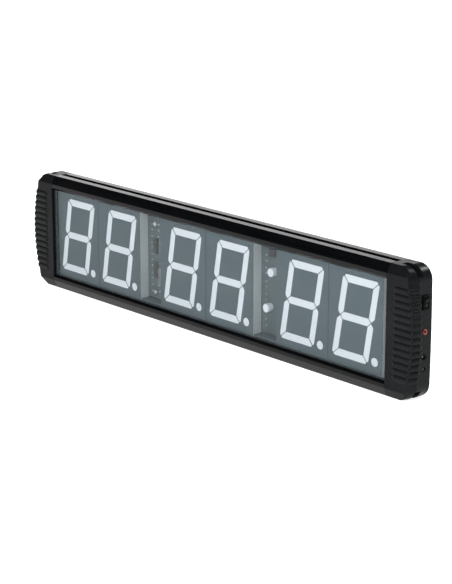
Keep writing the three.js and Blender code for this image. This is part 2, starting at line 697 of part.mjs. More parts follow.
// The infra-red receiver: a block with a round nose towards the window.
const receiverSpot = [firstGap + 10, DIGIT_MID - 2];
const receiverRear = DISPLAY_BOARD_FRONT - GAP;
const receiver = join(
  solidOf(chipBlock(...receiverSpot, 6, 7, 3)),
  solidOf(barAlongY(2.4, receiverRear - 5, receiverRear - 1, receiverSpot, 12)),
);
place("ir_receiver", geometryOf(receiver), materials.socketBlack);

const LAMP_RADIUS = 5.6;
const LAMP_SHOULDER = 1.6; // depth of a lamp's rounded front edge
const LAMP_STEPS = 4;
const lampGeometry = ([x, z]) => {
  const front = DIGIT_FACE + 5;
  const rear = DISPLAY_BOARD_FRONT - GAP;
  const profile = [new THREE.Vector2(0, front)];
  for (let i = 0; i <= LAMP_STEPS; i += 1) {
    const angle = (i / LAMP_STEPS) * (Math.PI / 2);
    profile.push(new THREE.Vector2(
      LAMP_RADIUS - LAMP_SHOULDER * (1 - Math.sin(angle)),
      front + LAMP_SHOULDER * (1 - Math.cos(angle)),
    ));
  }
  profile.push(new THREE.Vector2(LAMP_RADIUS, rear), new THREE.Vector2(0, rear));
  const geometry = new THREE.LatheGeometry(profile, 18);
  geometry.translate(x, 0, z);
  return geometry;
};
[["upper", 24.5], ["lower", -22]].forEach(([which, rise]) => {
  const spot = [secondGap + DIGIT_SLANT * rise, DIGIT_MID + rise];
  place(`colon_lamp_${which}`, lampGeometry(spot), materials.lampWhite);
});

// ---- the control board in the right end cap, and what stands on it ------------------------
place(
  "control_board",
  box([314, CONTROL_BOARD_FRONT, 22], [351, CONTROL_BOARD_REAR, 134]),
  materials.boardGreen,
);
const onBoard = ([x, z], [width, height], thick) =>
  box(
    [x - width / 2, CONTROL_FACE, z - height / 2],
    [x + width / 2, CONTROL_FACE + thick, z + height / 2],
  );
place("processor_chip", onBoard([325, 78], [10, 10], 1.5), materials.chipBlack);
place("power_inductor", onBoard([324, 42], [8, 8], 4.5), materials.chipBlack);
place(
  "filter_capacitor",
  barAlongY(4, CONTROL_FACE, CONTROL_FACE + 7.5, [324, 57], 14),
  materials.plated,
);
const buzzerSpot = [324, 93];
place(
  "buzzer",
  geometryOf(cut(
    solidOf(barAlongY(6, CONTROL_FACE, CONTROL_FACE + 7.5, buzzerSpot, 20)),
    solidOf(barAlongY(1.1, CONTROL_FACE + 4, CONTROL_FACE + 7.5 + PAST, buzzerSpot, 8)),
  )),
  materials.socketBlack,
);
const cellSpot = [326, 118];
const CELL_FLOOR = 1; // thickness of the holder under the cell
const CELL_RADIUS = 10;
const CELL_THICK = 3.2;
const cellHolder = cut(
  solidOf(onBoard(cellSpot, [22, 24], 4.6)),
  solidOf(barAlongY(
    CELL_RADIUS + GAP + 0.1, CONTROL_FACE + CELL_FLOOR, CONTROL_FACE + PAST, cellSpot, 24,
  )),
);
place("cell_holder", geometryOf(cellHolder), materials.socketBlack);
const cellFront = CONTROL_FACE + CELL_FLOOR + GAP;
place(
  "coin_cell",
  barAlongY(CELL_RADIUS, cellFront, cellFront + CELL_THICK, cellSpot, 24),
  materials.plated,
);

// ---- the controls in the right end --------------------------------------------------------
// A rocker switch: its bezel stands on the end face and its body fills the cut-out.
const BEZEL = [10.6, 17.4, 1.4]; // across, up and proud
const ROCKER = [6.6, 11.4]; // across and up
const ROCKER_TILT = THREE.MathUtils.degToRad(9);
const ROCKER_SWING = 6; // depth of the space that the rocker swings in
const SWITCH_INNER_END = 343;
const bezelFace = SIDE_FACE + CAP_BOW_REAR + GAP;
const switchBlock = ([across, up], low, high) =>
  solidOf(box(
    [low, CONTROL_ROW - across / 2, SWITCH_HEIGHT - up / 2],
    [high, CONTROL_ROW + across / 2, SWITCH_HEIGHT + up / 2],
  ));
const switchHousing = cut(
  join(
    switchBlock(BEZEL, bezelFace, bezelFace + BEZEL[2]),
    switchBlock(
      [SWITCH_CUT[0] - 2 * GAP, SWITCH_CUT[1] - 2 * GAP], SWITCH_INNER_END, bezelFace + 0.5,
    ),
  ),
  switchBlock([ROCKER[0] + 1, ROCKER[1] + 1.2], bezelFace - ROCKER_SWING, bezelFace + PAST),
);
place("power_switch_housing", geometryOf(switchHousing), materials.socketBlack);

// The rocker turns about a pivot that runs along Y; it is drawn level and then tilted to "off".
const rockerPivot = new THREE.Vector3(bezelFace - 0.6, CONTROL_ROW, SWITCH_HEIGHT);
const rockerOutline = () => {
  const half = ROCKER[1] / 2;
  const thick = 2.6; // half of its thickness at the ends
  const outline = new THREE.Shape();
  outline.moveTo(-thick, -half * 0.55);
  outline.lineTo(0, -half);
  outline.lineTo(thick, -half + 0.15);
  outline.quadraticCurveTo(thick - 1.4, 0, thick, half - 0.15);
  outline.lineTo(0, half);
  outline.lineTo(-thick, half * 0.55);
  outline.closePath();
  return outline;
};
const rockerGeometry = alongY(rockerOutline(), -ROCKER[0] / 2, ROCKER[0] / 2);
rockerGeometry.rotateY(ROCKER_TILT);
const rockerMesh = place("power_switch_rocker", rockerGeometry, materials.socketBlack);
rockerMesh.position.copy(rockerPivot);

// A 3.5 mm audio socket with an orange face ring.
const SOCKET_END = 352.5; // where the sockets' bodies stop, inside the wall
const SOCKET_TALL = 8; // how far they stand off the board
const NECK_START = SOCKET_END - 0.5;
const socketBlock = (start, z, half) =>
  solidOf(box(
    [start, CONTROL_FACE, z - half],
    [SOCKET_END, CONTROL_FACE + SOCKET_TALL, z + half],
  ));
const audioSpot = [CONTROL_ROW, AUDIO_HEIGHT];
const jackFace = SIDE_FACE + CAP_BOW_REAR - 0.9;
const audioBore = solidOf(barAlongX(1.85, 344, SIDE_FACE + PAST, audioSpot, 14));
const audioBody = cut(
  join(
    socketBlock(338, AUDIO_HEIGHT, 4),
    solidOf(barAlongX(3, NECK_START, jackFace - GAP, audioSpot)),
  ),
  audioBore,
);
place("audio_jack", geometryOf(audioBody), materials.socketBlack);
const audioRing = cut(solidOf(barAlongX(3.25, jackFace, jackFace + 1.9, audioSpot, 20)), audioBore);
place("audio_jack_ring", geometryOf(audioRing), materials.orangePlastic);

// The low-voltage inlet: a barrel with a centre pin.
const inletSpot = [CONTROL_ROW, INLET_HEIGHT];
const inletFace = SIDE_FACE - 0.6;
const inletShell = cut(
  join(
    socketBlock(339, INLET_HEIGHT, 4.5),
    solidOf(barAlongX(3.1, NECK_START, inletFace, inletSpot, 20)),
  ),
  solidOf(barAlongX(2.75, 346, SIDE_FACE + PAST, inletSpot, 20)),
);
const inletPin = solidOf(barAlongX(1.05, 345, inletFace - 1, inletSpot, 10));
place("power_inlet", geometryOf(join(inletShell, inletPin)), materials.socketBlack);

// A small push button, sunk in its hole.
const buttonSpot = [CONTROL_ROW, BUTTON_HEIGHT];
const BUTTON_TRAVEL = 0.8;
const buttonRear = 350;
place(
  "setup_switch",
  box(
    [343.5, CONTROL_FACE, BUTTON_HEIGHT - 3.5],
    [buttonRear - GAP - BUTTON_TRAVEL, CONTROL_FACE + SOCKET_TALL, BUTTON_HEIGHT + 3.5],
  ),
  materials.socketBlack,
);
place("setup_button", barAlongX(2.1, buttonRear, SIDE_FACE - 0.7, buttonSpot, 16), materials.chipBlack);

// ---- internal leads -----------------------------------------------------------------------
const lead = (points, section) =>
  new THREE.ExtrudeGeometry(section, {
    steps: 24,
    bevelEnabled: false,
    extrudePath: new THREE.CatmullRomCurve3(points.map((point) => new THREE.Vector3(...point))),
  });
const roundSection = (radius, sides = 8) =>
  shapeOf(Array.from({ length: sides }, (_, index) => {
    const angle = (index / sides) * Math.PI * 2;
    return [radius * Math.cos(angle), radius * Math.sin(angle)];
  }));
const LEAD_RADIUS = 0.9;
const leads = [["red", 2, materials.leadRed], ["black", -2, materials.leadBlack]];
leads.forEach(([colour, shift, finish]) => {
  const route = [
    [342.3, SWITCH_HEIGHT - 1],
    [340.9, SWITCH_HEIGHT - 4],
    [340.5, SWITCH_HEIGHT - 12],
    [336.3, AUDIO_HEIGHT + 8],
    [335.5, AUDIO_HEIGHT - 6],
    [335.5, INLET_HEIGHT + 6.5],
    [336.2, INLET_HEIGHT + 2],
    [337.8, INLET_HEIGHT + 0.5],
  ].map(([x, z]) => [x, CONTROL_ROW + shift, z]);
  place(`power_lead_${colour}`, lead(route, roundSection(LEAD_RADIUS)), finish);
});

export default timer;
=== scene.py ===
# Gym round timer: the looks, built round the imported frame. The frame is in metres with +Z up;
# lengths here are in millimetres and are scaled where a mesh is made.
import math
import random

import bmesh
import bpy
from mathutils import Matrix, Vector


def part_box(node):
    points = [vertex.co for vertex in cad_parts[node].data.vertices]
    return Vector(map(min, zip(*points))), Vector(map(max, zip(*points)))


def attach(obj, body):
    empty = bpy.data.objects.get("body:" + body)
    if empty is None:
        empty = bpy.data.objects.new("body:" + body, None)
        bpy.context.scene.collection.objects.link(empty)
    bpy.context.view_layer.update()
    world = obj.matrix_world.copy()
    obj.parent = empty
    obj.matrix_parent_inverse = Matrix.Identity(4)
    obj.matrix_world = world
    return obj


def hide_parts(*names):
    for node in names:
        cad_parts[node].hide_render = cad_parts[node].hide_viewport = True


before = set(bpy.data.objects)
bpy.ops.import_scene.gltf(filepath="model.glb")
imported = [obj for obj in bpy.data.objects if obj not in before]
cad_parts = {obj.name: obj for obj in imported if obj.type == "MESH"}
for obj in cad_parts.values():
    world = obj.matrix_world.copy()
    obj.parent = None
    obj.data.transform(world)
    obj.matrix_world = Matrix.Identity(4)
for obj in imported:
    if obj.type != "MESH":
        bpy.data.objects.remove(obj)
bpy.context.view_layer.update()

MM = 0.001


def span(node):
    """Lowest and highest corner of a CAD node, in millimetres."""
    low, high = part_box(node)
    return low / MM, high / MM


# ---- sizes taken from the frame ----
RAIL_LOW, RAIL_HIGH = span("top_rail")
CAP_LOW = span("end_cap_right")[0]
PANE_LOW, PANE_HIGH = span("window_pane")
HOUSING_LOW, HOUSING_HIGH = span("digit_1_housing")
BOARD_LOW = span("display_board")[0]
PANEL_LOW, PANEL_HIGH = span("back_panel")
SWITCH_LOW, SWITCH_HIGH = span("power_switch_housing")
RING_LOW, RING_HIGH = span("audio_jack_ring")
INLET_LOW, INLET_HIGH = span("power_inlet")
BUTTON_LOW, BUTTON_HIGH = span("setup_button")

HEIGHT = RAIL_HIGH.z
FRONT = RAIL_LOW.y
REAR = RAIL_HIGH.y
SEAM = CAP_LOW.x
WINDOW_HIGH = RAIL_LOW.z
DIGIT_FACE = HOUSING_LOW.y
DIGIT_MID = (HOUSING_LOW.z + HOUSING_HIGH.z) / 2
CONTROL_ROW = (SWITCH_LOW.y + SWITCH_HIGH.y) / 2
RIB_HEIGHT = FRONT - CAP_LOW.y
CLEARANCE = 0.3
PANEL_SEAT = PANEL_LOW.y - CLEARANCE

# A hair's breadth, kept between a piece and its CAD box or the board that it stands on.
HAIR = 0.02

# ---- sizes of the visible detail ----
BEVEL_TALL = 11
BEVEL_DEEP = 5.5
BEVEL_LENGTH = math.hypot(BEVEL_TALL, BEVEL_DEEP)
LIP = 3.5
CORNER_RADIUS = 18
CAP_TAPER = 5.2
CAP_HALF = 358.7
CAP_STEP = FRONT + 13.5
STEP_TOP = CAP_STEP - 0.4
STEP_FOOT = CAP_STEP + 0.2
CAP_BOW_FRONT = 9
CAP_BOW_STEP = 6
CAP_BOW_REAR = 0.6
CAP_WALL = 3
RIB_COUNT = 14
RIB_PITCH = 8
RIB_WIDTH = 6.8
RIB_START = 332.5
RIB_NOSE = 3
RIB_TURN = 1.6
RIB_LEAN = math.radians(76)
RIB_SINK = 1.2
RIB_LEAD = 8
RIB_END = CAP_STEP - 0.6
SLOT_DEPTH = 6.5
SLOT_FRONT = FRONT + 16
SLOT_REAR = SLOT_FRONT + 8
RAIL_WALL = 2.2
FLANGE_DEPTH = 8
FOAM_THICK = 1.25
FIN_FRONT = PANE_HIGH.y + CLEARANCE + FOAM_THICK + CLEARANCE
FIN_THICK = 1.6
NOTCH_START = 332
NOTCH_FRONT = FRONT + 12
NOTCH_REAR = FRONT + 21.5
NOTCH_DEPTH = 5
NOTCH_DROP = 12
NOTCH_WALL = 2
DIGIT_HEIGHT = 101.6
DIGIT_WIDTH = 59.8
DIGIT_SLANT = 0.172
STROKE = 9.2
STROKE_GAP = 0.7
CORNER_CUT = 4
POINT_PLACE = (32.1, -45.1)
POINT_RADIUS = 5.3
WELL_DEPTH = 1.6
RESIN_RECESS = 0.12
RESIN_SHRINK = 0.9995
SPACER_TALL = 3
PART_COLUMNS = ((-12, 1, 5, 9), (-12, 12))
PART_ROWS = 12
PART_PITCH = 8.2
PIN_COUNT = 8
PIN_PITCH = 2.5
BORE_HEAD, BORE_SHANK = 3.9, 1.9
CUT_OUT_HALF = (4.5, 7.2)
RING_HOLE, INLET_HOLE, BUTTON_HOLE = 3.45, 3.4, 2.6
SWITCH_FRAME = 1.4
ROCKER_LONG = 11.4
ROCKER_THICK = 2.6
ROCKER_DISH = 2.8
ROCKER_TILT = math.radians(9)
PIVOT_DEPTH = 0.6
INLET_FLOOR = 346
KEYHOLE_XS = (-200, 200)
KEYHOLE_Z = 112
VENT_XS = (-90, 90)
VENT_LOW = 45
VENT_ROWS = 6
VENT_PITCH = 9
VENT_HALF, VENT_RADIUS = 14, 1.5

# ---- how finely curves are drawn ----
CORNER_STEPS = 12
BOW_STEPS = 28
EDGE_EASE = 0.7
EASE_STEPS = 4
OVERRUN = 20

# ---- the picture ----
FLOOR_GLOW = 0.82
CAMERA_PLACE = Vector((1.7423, -1.4909, 0.6778))
CAMERA_YAW = -0.8557
CAMERA_DIP = 0.2647
LENS = 115.58


# ---- mesh helpers ----
def new_object(name, data):
    """An object in the scene that holds the data."""
    obj = bpy.data.objects.new(name, data)
    bpy.context.scene.collection.objects.link(obj)
    return obj


def fillet(points, radii, steps=5):
    """The closed outline with each corner rounded by its own radius."""
    if not isinstance(radii, (list, tuple)):
        radii = [radii] * len(points)
    rounded = []
    for index, point in enumerate(points):
        corner = Vector(point)
        back = Vector(points[index - 1]) - corner
        ahead = Vector(points[(index + 1) % len(points)]) - corner
        radius = radii[index]
        angle = back.angle(ahead)
        if radius <= 0 or angle > math.radians(178):
            rounded.append(tuple(corner))
            continue
        reach = min(radius / math.tan(angle / 2), 0.49 * back.length, 0.49 * ahead.length)
        start = corner + back.normalized() * reach
        end = corner + ahead.normalized() * reach
        real_radius = reach * math.tan(angle / 2)
        middle = corner + (back.normalized() + ahead.normalized()).normalized() * (
            real_radius / math.sin(angle / 2)
        )
        for step in range(steps + 1):
            share = step / steps
            arm = (start - middle).normalized().slerp((end - middle).normalized(), share)
            rounded.append(tuple(middle + arm * real_radius))
    return rounded


def make(name, vertices, faces):
    """A mesh object from vertices in millimetres, its faces turned outwards."""
    mesh = bpy.data.meshes.new(name)
    mesh.from_pydata([Vector(v) * MM for v in vertices], [], faces)
    body = bmesh.new()
    body.from_mesh(mesh)
    bmesh.ops.recalc_face_normals(body, faces=body.faces)
    body.to_mesh(mesh)
    body.free()
    return new_object(name, mesh)


def prism(name, outline, low, high, axis="Y"):
    """A closed outline run along one axis. Its points are YZ along X, XZ along Y, XY along Z."""
    place = {
        "X": lambda u, v, w: (w, u, v),
        "Y": lambda u, v, w: (u, w, v),
        "Z": lambda u, v, w: (u, v, w),
    }[axis]
    count = len(outline)
    vertices = [place(u, v, w) for w in (low, high) for u, v in outline]
    sides = [(i, (i + 1) % count, count + (i + 1) % count, count + i) for i in range(count)]
    ends = [tuple(range(count)), tuple(range(count, 2 * count))]
    return make(name, vertices, sides + ends)


def block(name, low, high):
    """A box between two corners."""
    outline = [(low[0], low[2]), (high[0], low[2]), (high[0], high[2]), (low[0], high[2])]
    return prism(name, outline, low[1], high[1])


def circle(radius, centre, sides):
    """A polygon round a centre."""
    turns = [2 * math.pi * i / sides for i in range(sides)]
    return [(centre[0] + radius * math.cos(turn), centre[1] + radius * math.sin(turn)) for turn in turns]


def turned(name, profile, centre, axis="Y", sides=40):
    """A profile of (radius, along) turned about a line along X or Y. Radius 0 closes an end."""
    vertices = []
    rings = []
    for radius, along in profile:
        ring = []
        for i in range(1 if radius == 0 else sides):
            turn = 2 * math.pi * i / sides
            u = radius * math.cos(turn)
            v = radius * math.sin(turn)
            if axis == "Y":
                vertices.append((centre[0] + u, along, centre[1] + v))
            else:
                vertices.append((along, centre[0] + u, centre[1] + v))
            ring.append(len(vertices) - 1)
        rings.append(ring)
    faces = []
    closed = profile[0][0] > 0 and profile[-1][0] > 0
    pairs = list(zip(rings, rings[1:])) + ([(rings[-1], rings[0])] if closed else [])
    for first, second in pairs:
        for i in range(sides):
            a, b = first[i % len(first)], first[(i + 1) % len(first)]
            c, d = second[(i + 1) % len(second)], second[i % len(second)]
            face = [a] if len(first) == 1 else [a, b]
            face += [c] if len(second) == 1 else [c, d]
            if len(face) > 2:
                faces.append(tuple(face))
    return make(name, vertices, faces)


def loft(name, rings):
    """A closed body through rings of equal count, each a closed list of points."""
    count = len(rings[0])
    vertices = [point for ring in rings for point in ring]
    faces = []
    for level in range(len(rings) - 1):
        for i in range(count):
            a = level * count + i
            b = level * count + (i + 1) % count
            faces.append((a, b, b + count, a + count))
    last = (len(rings) - 1) * count
    faces += [tuple(range(count)), tuple(range(last, last + count))]
    return make(name, vertices, faces)


def settle(obj):
    """Applies the object's modifiers to its mesh."""
    bpy.context.view_layer.update()
    graph = bpy.context.evaluated_depsgraph_get()
    mesh = bpy.data.meshes.new_from_object(obj.evaluated_get(graph))
    old = obj.data
    obj.modifiers.clear()
    obj.data = mesh
    bpy.data.meshes.remove(old)
    return obj


def join(name, objects):
    """One object from several, with their material slots kept apart."""
    merged = bmesh.new()
    materials = []
    for obj in objects:
        start = len(merged.faces)
        merged.from_mesh(obj.data)
        merged.faces.ensure_lookup_table()
        for face in merged.faces[start:]:
            finish = obj.data.materials[face.material_index] if obj.data.materials else None
            if finish not in materials:
                materials.append(finish)
            face.material_index = materials.index(finish)
    mesh = bpy.data.meshes.new(name)
    merged.to_mesh(mesh)
    merged.free()
    for finish in materials:
        if finish is not None:
            mesh.materials.append(finish)
    for obj in objects:
        bpy.data.objects.remove(obj)
    return new_object(name, mesh)


def carve(obj, tools, operation="DIFFERENCE"):
    """Joins the tools to obj, or cuts them away, and removes them."""
    for tool in tools:
        change = obj.modifiers.new("carve", "BOOLEAN")
        change.object = tool
        change.operation = operation
        change.solver = "EXACT"
    settle(obj)
    for tool in tools:
        bpy.data.objects.remove(tool)
    return obj


def soften(obj, width, segments=3, angle=30):
    """Rounds every edge sharper than the angle."""
    edge = obj.modifiers.new("edge", "BEVEL")
    edge.width = width * MM
    edge.segments = segments
    edge.limit_method = "ANGLE"
    edge.angle_limit = math.radians(angle)
    return settle(obj)


def shade(obj, angle=32):
    """Smooth shading that keeps flat faces flat and sharp edges sharp."""
    body = bmesh.new()
    body.from_mesh(obj.data)
    for face in body.faces:
        face.smooth = True
    for edge in body.edges:
        edge.smooth = len(edge.link_faces) == 2 and edge.calc_face_angle(0) < math.radians(angle)
    body.to_mesh(obj.data)
    body.free()
    weigh = obj.modifiers.new("normals", "WEIGHTED_NORMAL")
    weigh.keep_sharp = True
    return obj


def paint(obj, material, body="case", replaces=()):
    """Gives a finished piece its material, its body and the CAD nodes it stands for."""
    if not obj.data.materials:
        obj.data.materials.append(material)
    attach(obj, body)
    if replaces:
        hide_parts(*replaces)
    return obj


# ---- materials ----
def set_range(node, start, end, low, high):
    """Makes a Map Range node turn start to end into low to high."""
    for name, number in (("From Min", start), ("From Max", end), ("To Min", low), ("To Max", high)):
        node.inputs[name].default_value = number


class Nodes:
    """A material's node tree with its Principled shader."""

    def __init__(self, name, colour, roughness, metallic=0.0, specular=0.5):
        self.material = bpy.data.materials.new(name)
        self.material.use_nodes = True
        self.tree = self.material.node_tree
        self.shader = self.tree.nodes["Principled BSDF"]
        self.shader.inputs["Base Color"].default_value = (*colour, 1)
        self.shader.inputs["Roughness"].default_value = roughness
        self.shader.inputs["Metallic"].default_value = metallic
        self.shader.inputs["Specular IOR Level"].default_value = specular
        self.place = self.tree.nodes.new("ShaderNodeTexCoord").outputs["Object"]

    def feed(self, socket, value):
        """Gives a socket a fixed value, or links another node's output to it."""
        if hasattr(value, "is_linked"):
            self.tree.links.new(value, socket)
        else:
            socket.default_value = value

    def add(self, kind, **inputs):
        """A new node, its inputs set by name."""
        node = self.tree.nodes.new(kind)
        for name, value in inputs.items():
            self.feed(node.inputs[name], value)
        return node

    def link(self, output, socket):
        """Links an output to one of the shader's inputs."""
        self.tree.links.new(output, self.shader.inputs[socket])

    def noise(self, scale, detail, stretch=(1, 1, 1)):
        """Noise of that many features to the metre, stretched along the axes."""
        mapping = self.add("ShaderNodeMapping", Vector=self.place, Scale=stretch)
        node = self.add("ShaderNodeTexNoise", Vector=mapping.outputs[0], Scale=scale, Detail=detail,
                        Roughness=0.55)
        return node.outputs["Fac"]

    def remap(self, value, low, high):
        """Spreads noise, which mostly lies from 0.3 to 0.7, over low to high."""
        node = self.add("ShaderNodeMapRange", Value=value)
        set_range(node, 0.3, 0.7, low, high)
        return node.outputs["Result"]

    def blend(self, share, first, second):
        """Mixes two colours by a share from 0 to 1."""
        node = self.tree.nodes.new("ShaderNodeMix")
        node.data_type = "RGBA"
        self.tree.links.new(share, node.inputs["Factor"])
        node.inputs[6].default_value = (*first, 1)
        node.inputs[7].default_value = (*second, 1)
        return node.outputs[2]

    def bump(self, height, depth):
        """Bump whose height runs over depth millimetres."""
        node = self.add("ShaderNodeBump", Height=height, Strength=1.0, Distance=depth * MM)
        self.link(node.outputs[0], "Normal")


def grained(name, colour, lighter, roughness, grain=900, depth=0.02, specular=0.5):
    """Moulded plastic: slow colour drift, uneven gloss and a fine grain."""
    look = Nodes(name, colour, roughness, specular=specular)
    drift = look.remap(look.noise(35, 4), 0, 1)
    look.link(look.blend(drift, colour, lighter), "Base Color")
    look.link(look.remap(look.noise(120, 3), roughness - 0.06, roughness + 0.06), "Roughness")
    look.bump(look.noise(grain, 2), depth)
    return look.material


def drawn_metal(name, colour, lighter, roughness, specular):
    """An extruded and anodised surface: faint die lines along X, and handling marks."""
    look = Nodes(name, colour, roughness, specular=specular)
    lines = look.noise(700, 3, stretch=(0.004, 1, 1))
    smears = look.noise(14, 4)
    look.link(look.blend(look.remap(lines, 0, 1), colour, lighter), "Base Color")
    gloss = look.add("ShaderNodeMath", Value=look.remap(smears, roughness - 0.05, roughness + 0.05))
    gloss.operation = "ADD"
    look.tree.links.new(look.remap(lines, -0.03, 0.03), gloss.inputs[1])
    look.link(gloss.outputs[0], "Roughness")
    look.bump(lines, 0.006)
    return look.material


def bright_metal(name, colour, roughness):
    """Bare or plated metal with fine uneven gloss."""
    look = Nodes(name, colour, roughness, metallic=1.0)
    look.link(look.remap(look.noise(500, 3), roughness - 0.08, roughness + 0.1), "Roughness")
    look.bump(look.noise(1500, 2), 0.008)
    return look.material


def smoked_acrylic():
    """The window: dark and clear, with faint wiping marks and a few fine scratches."""
    look = Nodes("smoked_acrylic", (0.02, 0.025, 0.028), 0.04)
    look.shader.inputs["Alpha"].default_value = 0.2
    look.shader.inputs["IOR"].default_value = 1.75
    look.link(look.remap(look.noise(9, 5), 0.02, 0.07), "Roughness")
    look.bump(look.noise(60, 2, stretch=(1, 1, 0.03)), 0.004)
    return look.material


def circuit_board():
    """Solder mask over a pattern of tracks and pads."""
    look = Nodes("circuit_board", (0.07, 0.105, 0.12), 0.4, specular=0.2)
    mapping = look.add("ShaderNodeMapping", Vector=look.place, Rotation=(math.pi / 2, 0, 0))
    tracks = look.add("ShaderNodeTexBrick", **{
        "Vector": mapping.outputs[0], "Scale": 190, "Mortar Size": 0.09, "Row Height": 0.4,
        "Brick Width": 2.6, "Color1": (0.06, 0.092, 0.107, 1), "Color2": (0.074, 0.11, 0.124, 1),
        "Mortar": (0.11, 0.15, 0.16, 1),
    })
    look.link(tracks.outputs["Color"], "Base Color")
    look.link(look.remap(look.noise(200, 2), 0.32, 0.48), "Roughness")
    look.bump(tracks.outputs["Fac"], 0.05)
    return look.material


def milky_resin():
    """Cast resin over the LEDs: near white, a little translucent, slightly uneven."""
    look = Nodes("milky_resin", (0.82, 0.9, 0.98), 0.38)
    cloud = look.remap(look.noise(160, 3), 0, 1)
    look.link(look.blend(cloud, (0.79, 0.88, 0.97), (0.85, 0.92, 0.99)), "Base Color")
    look.shader.inputs["Subsurface Weight"].default_value = 0.15
    look.shader.inputs["Subsurface Radius"].default_value = (0.002, 0.002, 0.002)
    look.bump(look.noise(420, 2), 0.015)
    return look.material


anodised = drawn_metal("anodised_black", (0.001, 0.0012, 0.0014), (0.002, 0.0022, 0.0025), 0.2, 0.16)
cap_plastic = grained("cap_plastic", (0.0036, 0.0042, 0.0046), (0.0056, 0.0063, 0.0068), 0.3, specular=0.07)
panel_paint = grained("panel_powder_coat", (0.012, 0.012, 0.0125), (0.018, 0.018, 0.0185), 0.5,
                      grain=1300, depth=0.09)
window_plastic = smoked_acrylic()
foam = grained("gasket_foam", (0.055, 0.072, 0.08), (0.07, 0.088, 0.096), 0.9, grain=2200, depth=0.15)
module_face = grained("module_face", (0.08, 0.119, 0.137), (0.088, 0.129, 0.148), 0.5, grain=700,
                      specular=0.12)
module_side = grained("module_side", (0.5, 0.56, 0.58), (0.56, 0.62, 0.64), 0.5, grain=500)
well_dark = grained("well_dark", (0.07, 0.085, 0.09), (0.09, 0.105, 0.11), 0.6)
resin = milky_resin()
board_mask = circuit_board()
chip_resin = grained("chip_resin", (0.02, 0.021, 0.023), (0.03, 0.031, 0.033), 0.5, grain=1800)
part_grey = grained("part_grey", (0.3, 0.33, 0.33), (0.38, 0.41, 0.41), 0.45)
plated = bright_metal("plated_metal", (0.78, 0.79, 0.8), 0.3)
pin_metal = bright_metal("pin_metal", (0.3, 0.29, 0.27), 0.35)
black_zinc = bright_metal("black_zinc", (0.06, 0.06, 0.065), 0.4)
switch_black = grained("switch_black", (0.0012, 0.0012, 0.0014), (0.0024, 0.0024, 0.0026), 0.35,
                       depth=0.008, specular=0.03)
orange = grained("orange_plastic", (0.2, 0.028, 0.012), (0.28, 0.045, 0.018), 0.28)
socket_dark = grained("socket_dark", (0.004, 0.004, 0.0045), (0.007, 0.007, 0.0075), 0.5)
lead_red = grained("lead_red", (0.4, 0.02, 0.015), (0.46, 0.03, 0.02), 0.45)
lead_black = grained("lead_black", (0.01, 0.01, 0.01), (0.016, 0.016, 0.016), 0.45)
mark_grey = grained("mark_grey", (0.012, 0.012, 0.012), (0.02, 0.02, 0.02), 0.5)


# ---- the rails ----
def rail_outline():
    """The top rail in YZ. Each mark is a point and its corner's radius."""
    top = HEIGHT
    inside = top - RAIL_WALL
    slot_floor = top - SLOT_DEPTH
    web = slot_floor - RAIL_WALL
    skin_top = FRONT + BEVEL_DEEP + RAIL_WALL * (BEVEL_LENGTH - BEVEL_DEEP) / BEVEL_TALL
    skin_low = top - BEVEL_TALL - RAIL_WALL * (BEVEL_LENGTH - BEVEL_TALL) / BEVEL_DEEP
    lip_top = WINDOW_HIGH + LIP + 1.5
    flange_low = WINDOW_HIGH + 2.2
    flange_top = top - FLANGE_DEPTH
    flange_front = PANEL_SEAT - RAIL_WALL
    fin_rear = FIN_FRONT + FIN_THICK
    web_front, web_rear = SLOT_FRONT - RAIL_WALL, SLOT_REAR + RAIL_WALL
    marks = [
        (FRONT + LIP, WINDOW_HIGH, 0.3),
        (FRONT, WINDOW_HIGH + LIP, 0.6),
        (FRONT, top - BEVEL_TALL, 1.6),
        (FRONT + BEVEL_DEEP, top, 1.2),
        (SLOT_FRONT, top, 0.5),
        (SLOT_FRONT, slot_floor, 0.5),
        (SLOT_REAR, slot_floor, 0.5),
        (SLOT_REAR, top, 0.5),
        (REAR, top, 1.0),
        (REAR, flange_top, 0.4),
        (PANEL_SEAT, flange_top, 0.3),
        (PANEL_SEAT, flange_low, 0.3),
        (flange_front, flange_low, 0.3),
        (flange_front, inside, 0.5),
        (web_rear, inside, 0.5),
        (web_rear, web, 0.5),
        (fin_rear, web, 0.4),
        (fin_rear, flange_low, 0.3),
        (FIN_FRONT, flange_low, 0.3),
        (FIN_FRONT, web + FIN_THICK, 0.4),
        (web_front, web + FIN_THICK, 0.4),
        (web_front, inside, 0.5),
        (skin_top, inside, 0.5),
        (FRONT + RAIL_WALL, skin_low, 0.5),
        (FRONT + RAIL_WALL, lip_top, 0.3),
        (FRONT + LIP, lip_top, 0.3),
    ]
    return fillet([mark[:2] for mark in marks], [mark[2] for mark in marks])


def rails():
    """Both rails; the lower one is the upper one turned over."""
    outline = rail_outline()
    upper = prism("upper_rail", outline, RAIL_LOW.x, RAIL_HIGH.x, "X")
    flipped = [(y, HEIGHT - z) for y, z in reversed(outline)]
    lower = prism("lower_rail", flipped, RAIL_LOW.x, RAIL_HIGH.x, "X")
    for obj, node in ((upper, "top_rail"), (lower, "bottom_rail")):
        paint(shade(obj), anodised, replaces=[node])


rails()


# ---- the end caps ----
def inset_curve(marks):
    """Inset as a function of y along a rounded path of (y, inset, radius), front to rear."""
    path = fillet([mark[:2] for mark in marks], [mark[2] for mark in marks], 6)
    first = max(i for i, p in enumerate(path[: len(path) // 2]) if p[0] <= FRONT + 1e-6)
    path = [p for p in path[first:] if p[1] < OVERRUN - 1]

    def inset(y):
        for (y0, i0), (y1, i1) in zip(path, path[1:]):
            if y0 <= y <= y1 and y1 > y0:
                return i0 + (i1 - i0) * (y - y0) / (y1 - y0)
        return path[0][1] if y <= path[0][0] else path[-1][1]

    return inset, [p[0] for p in path]


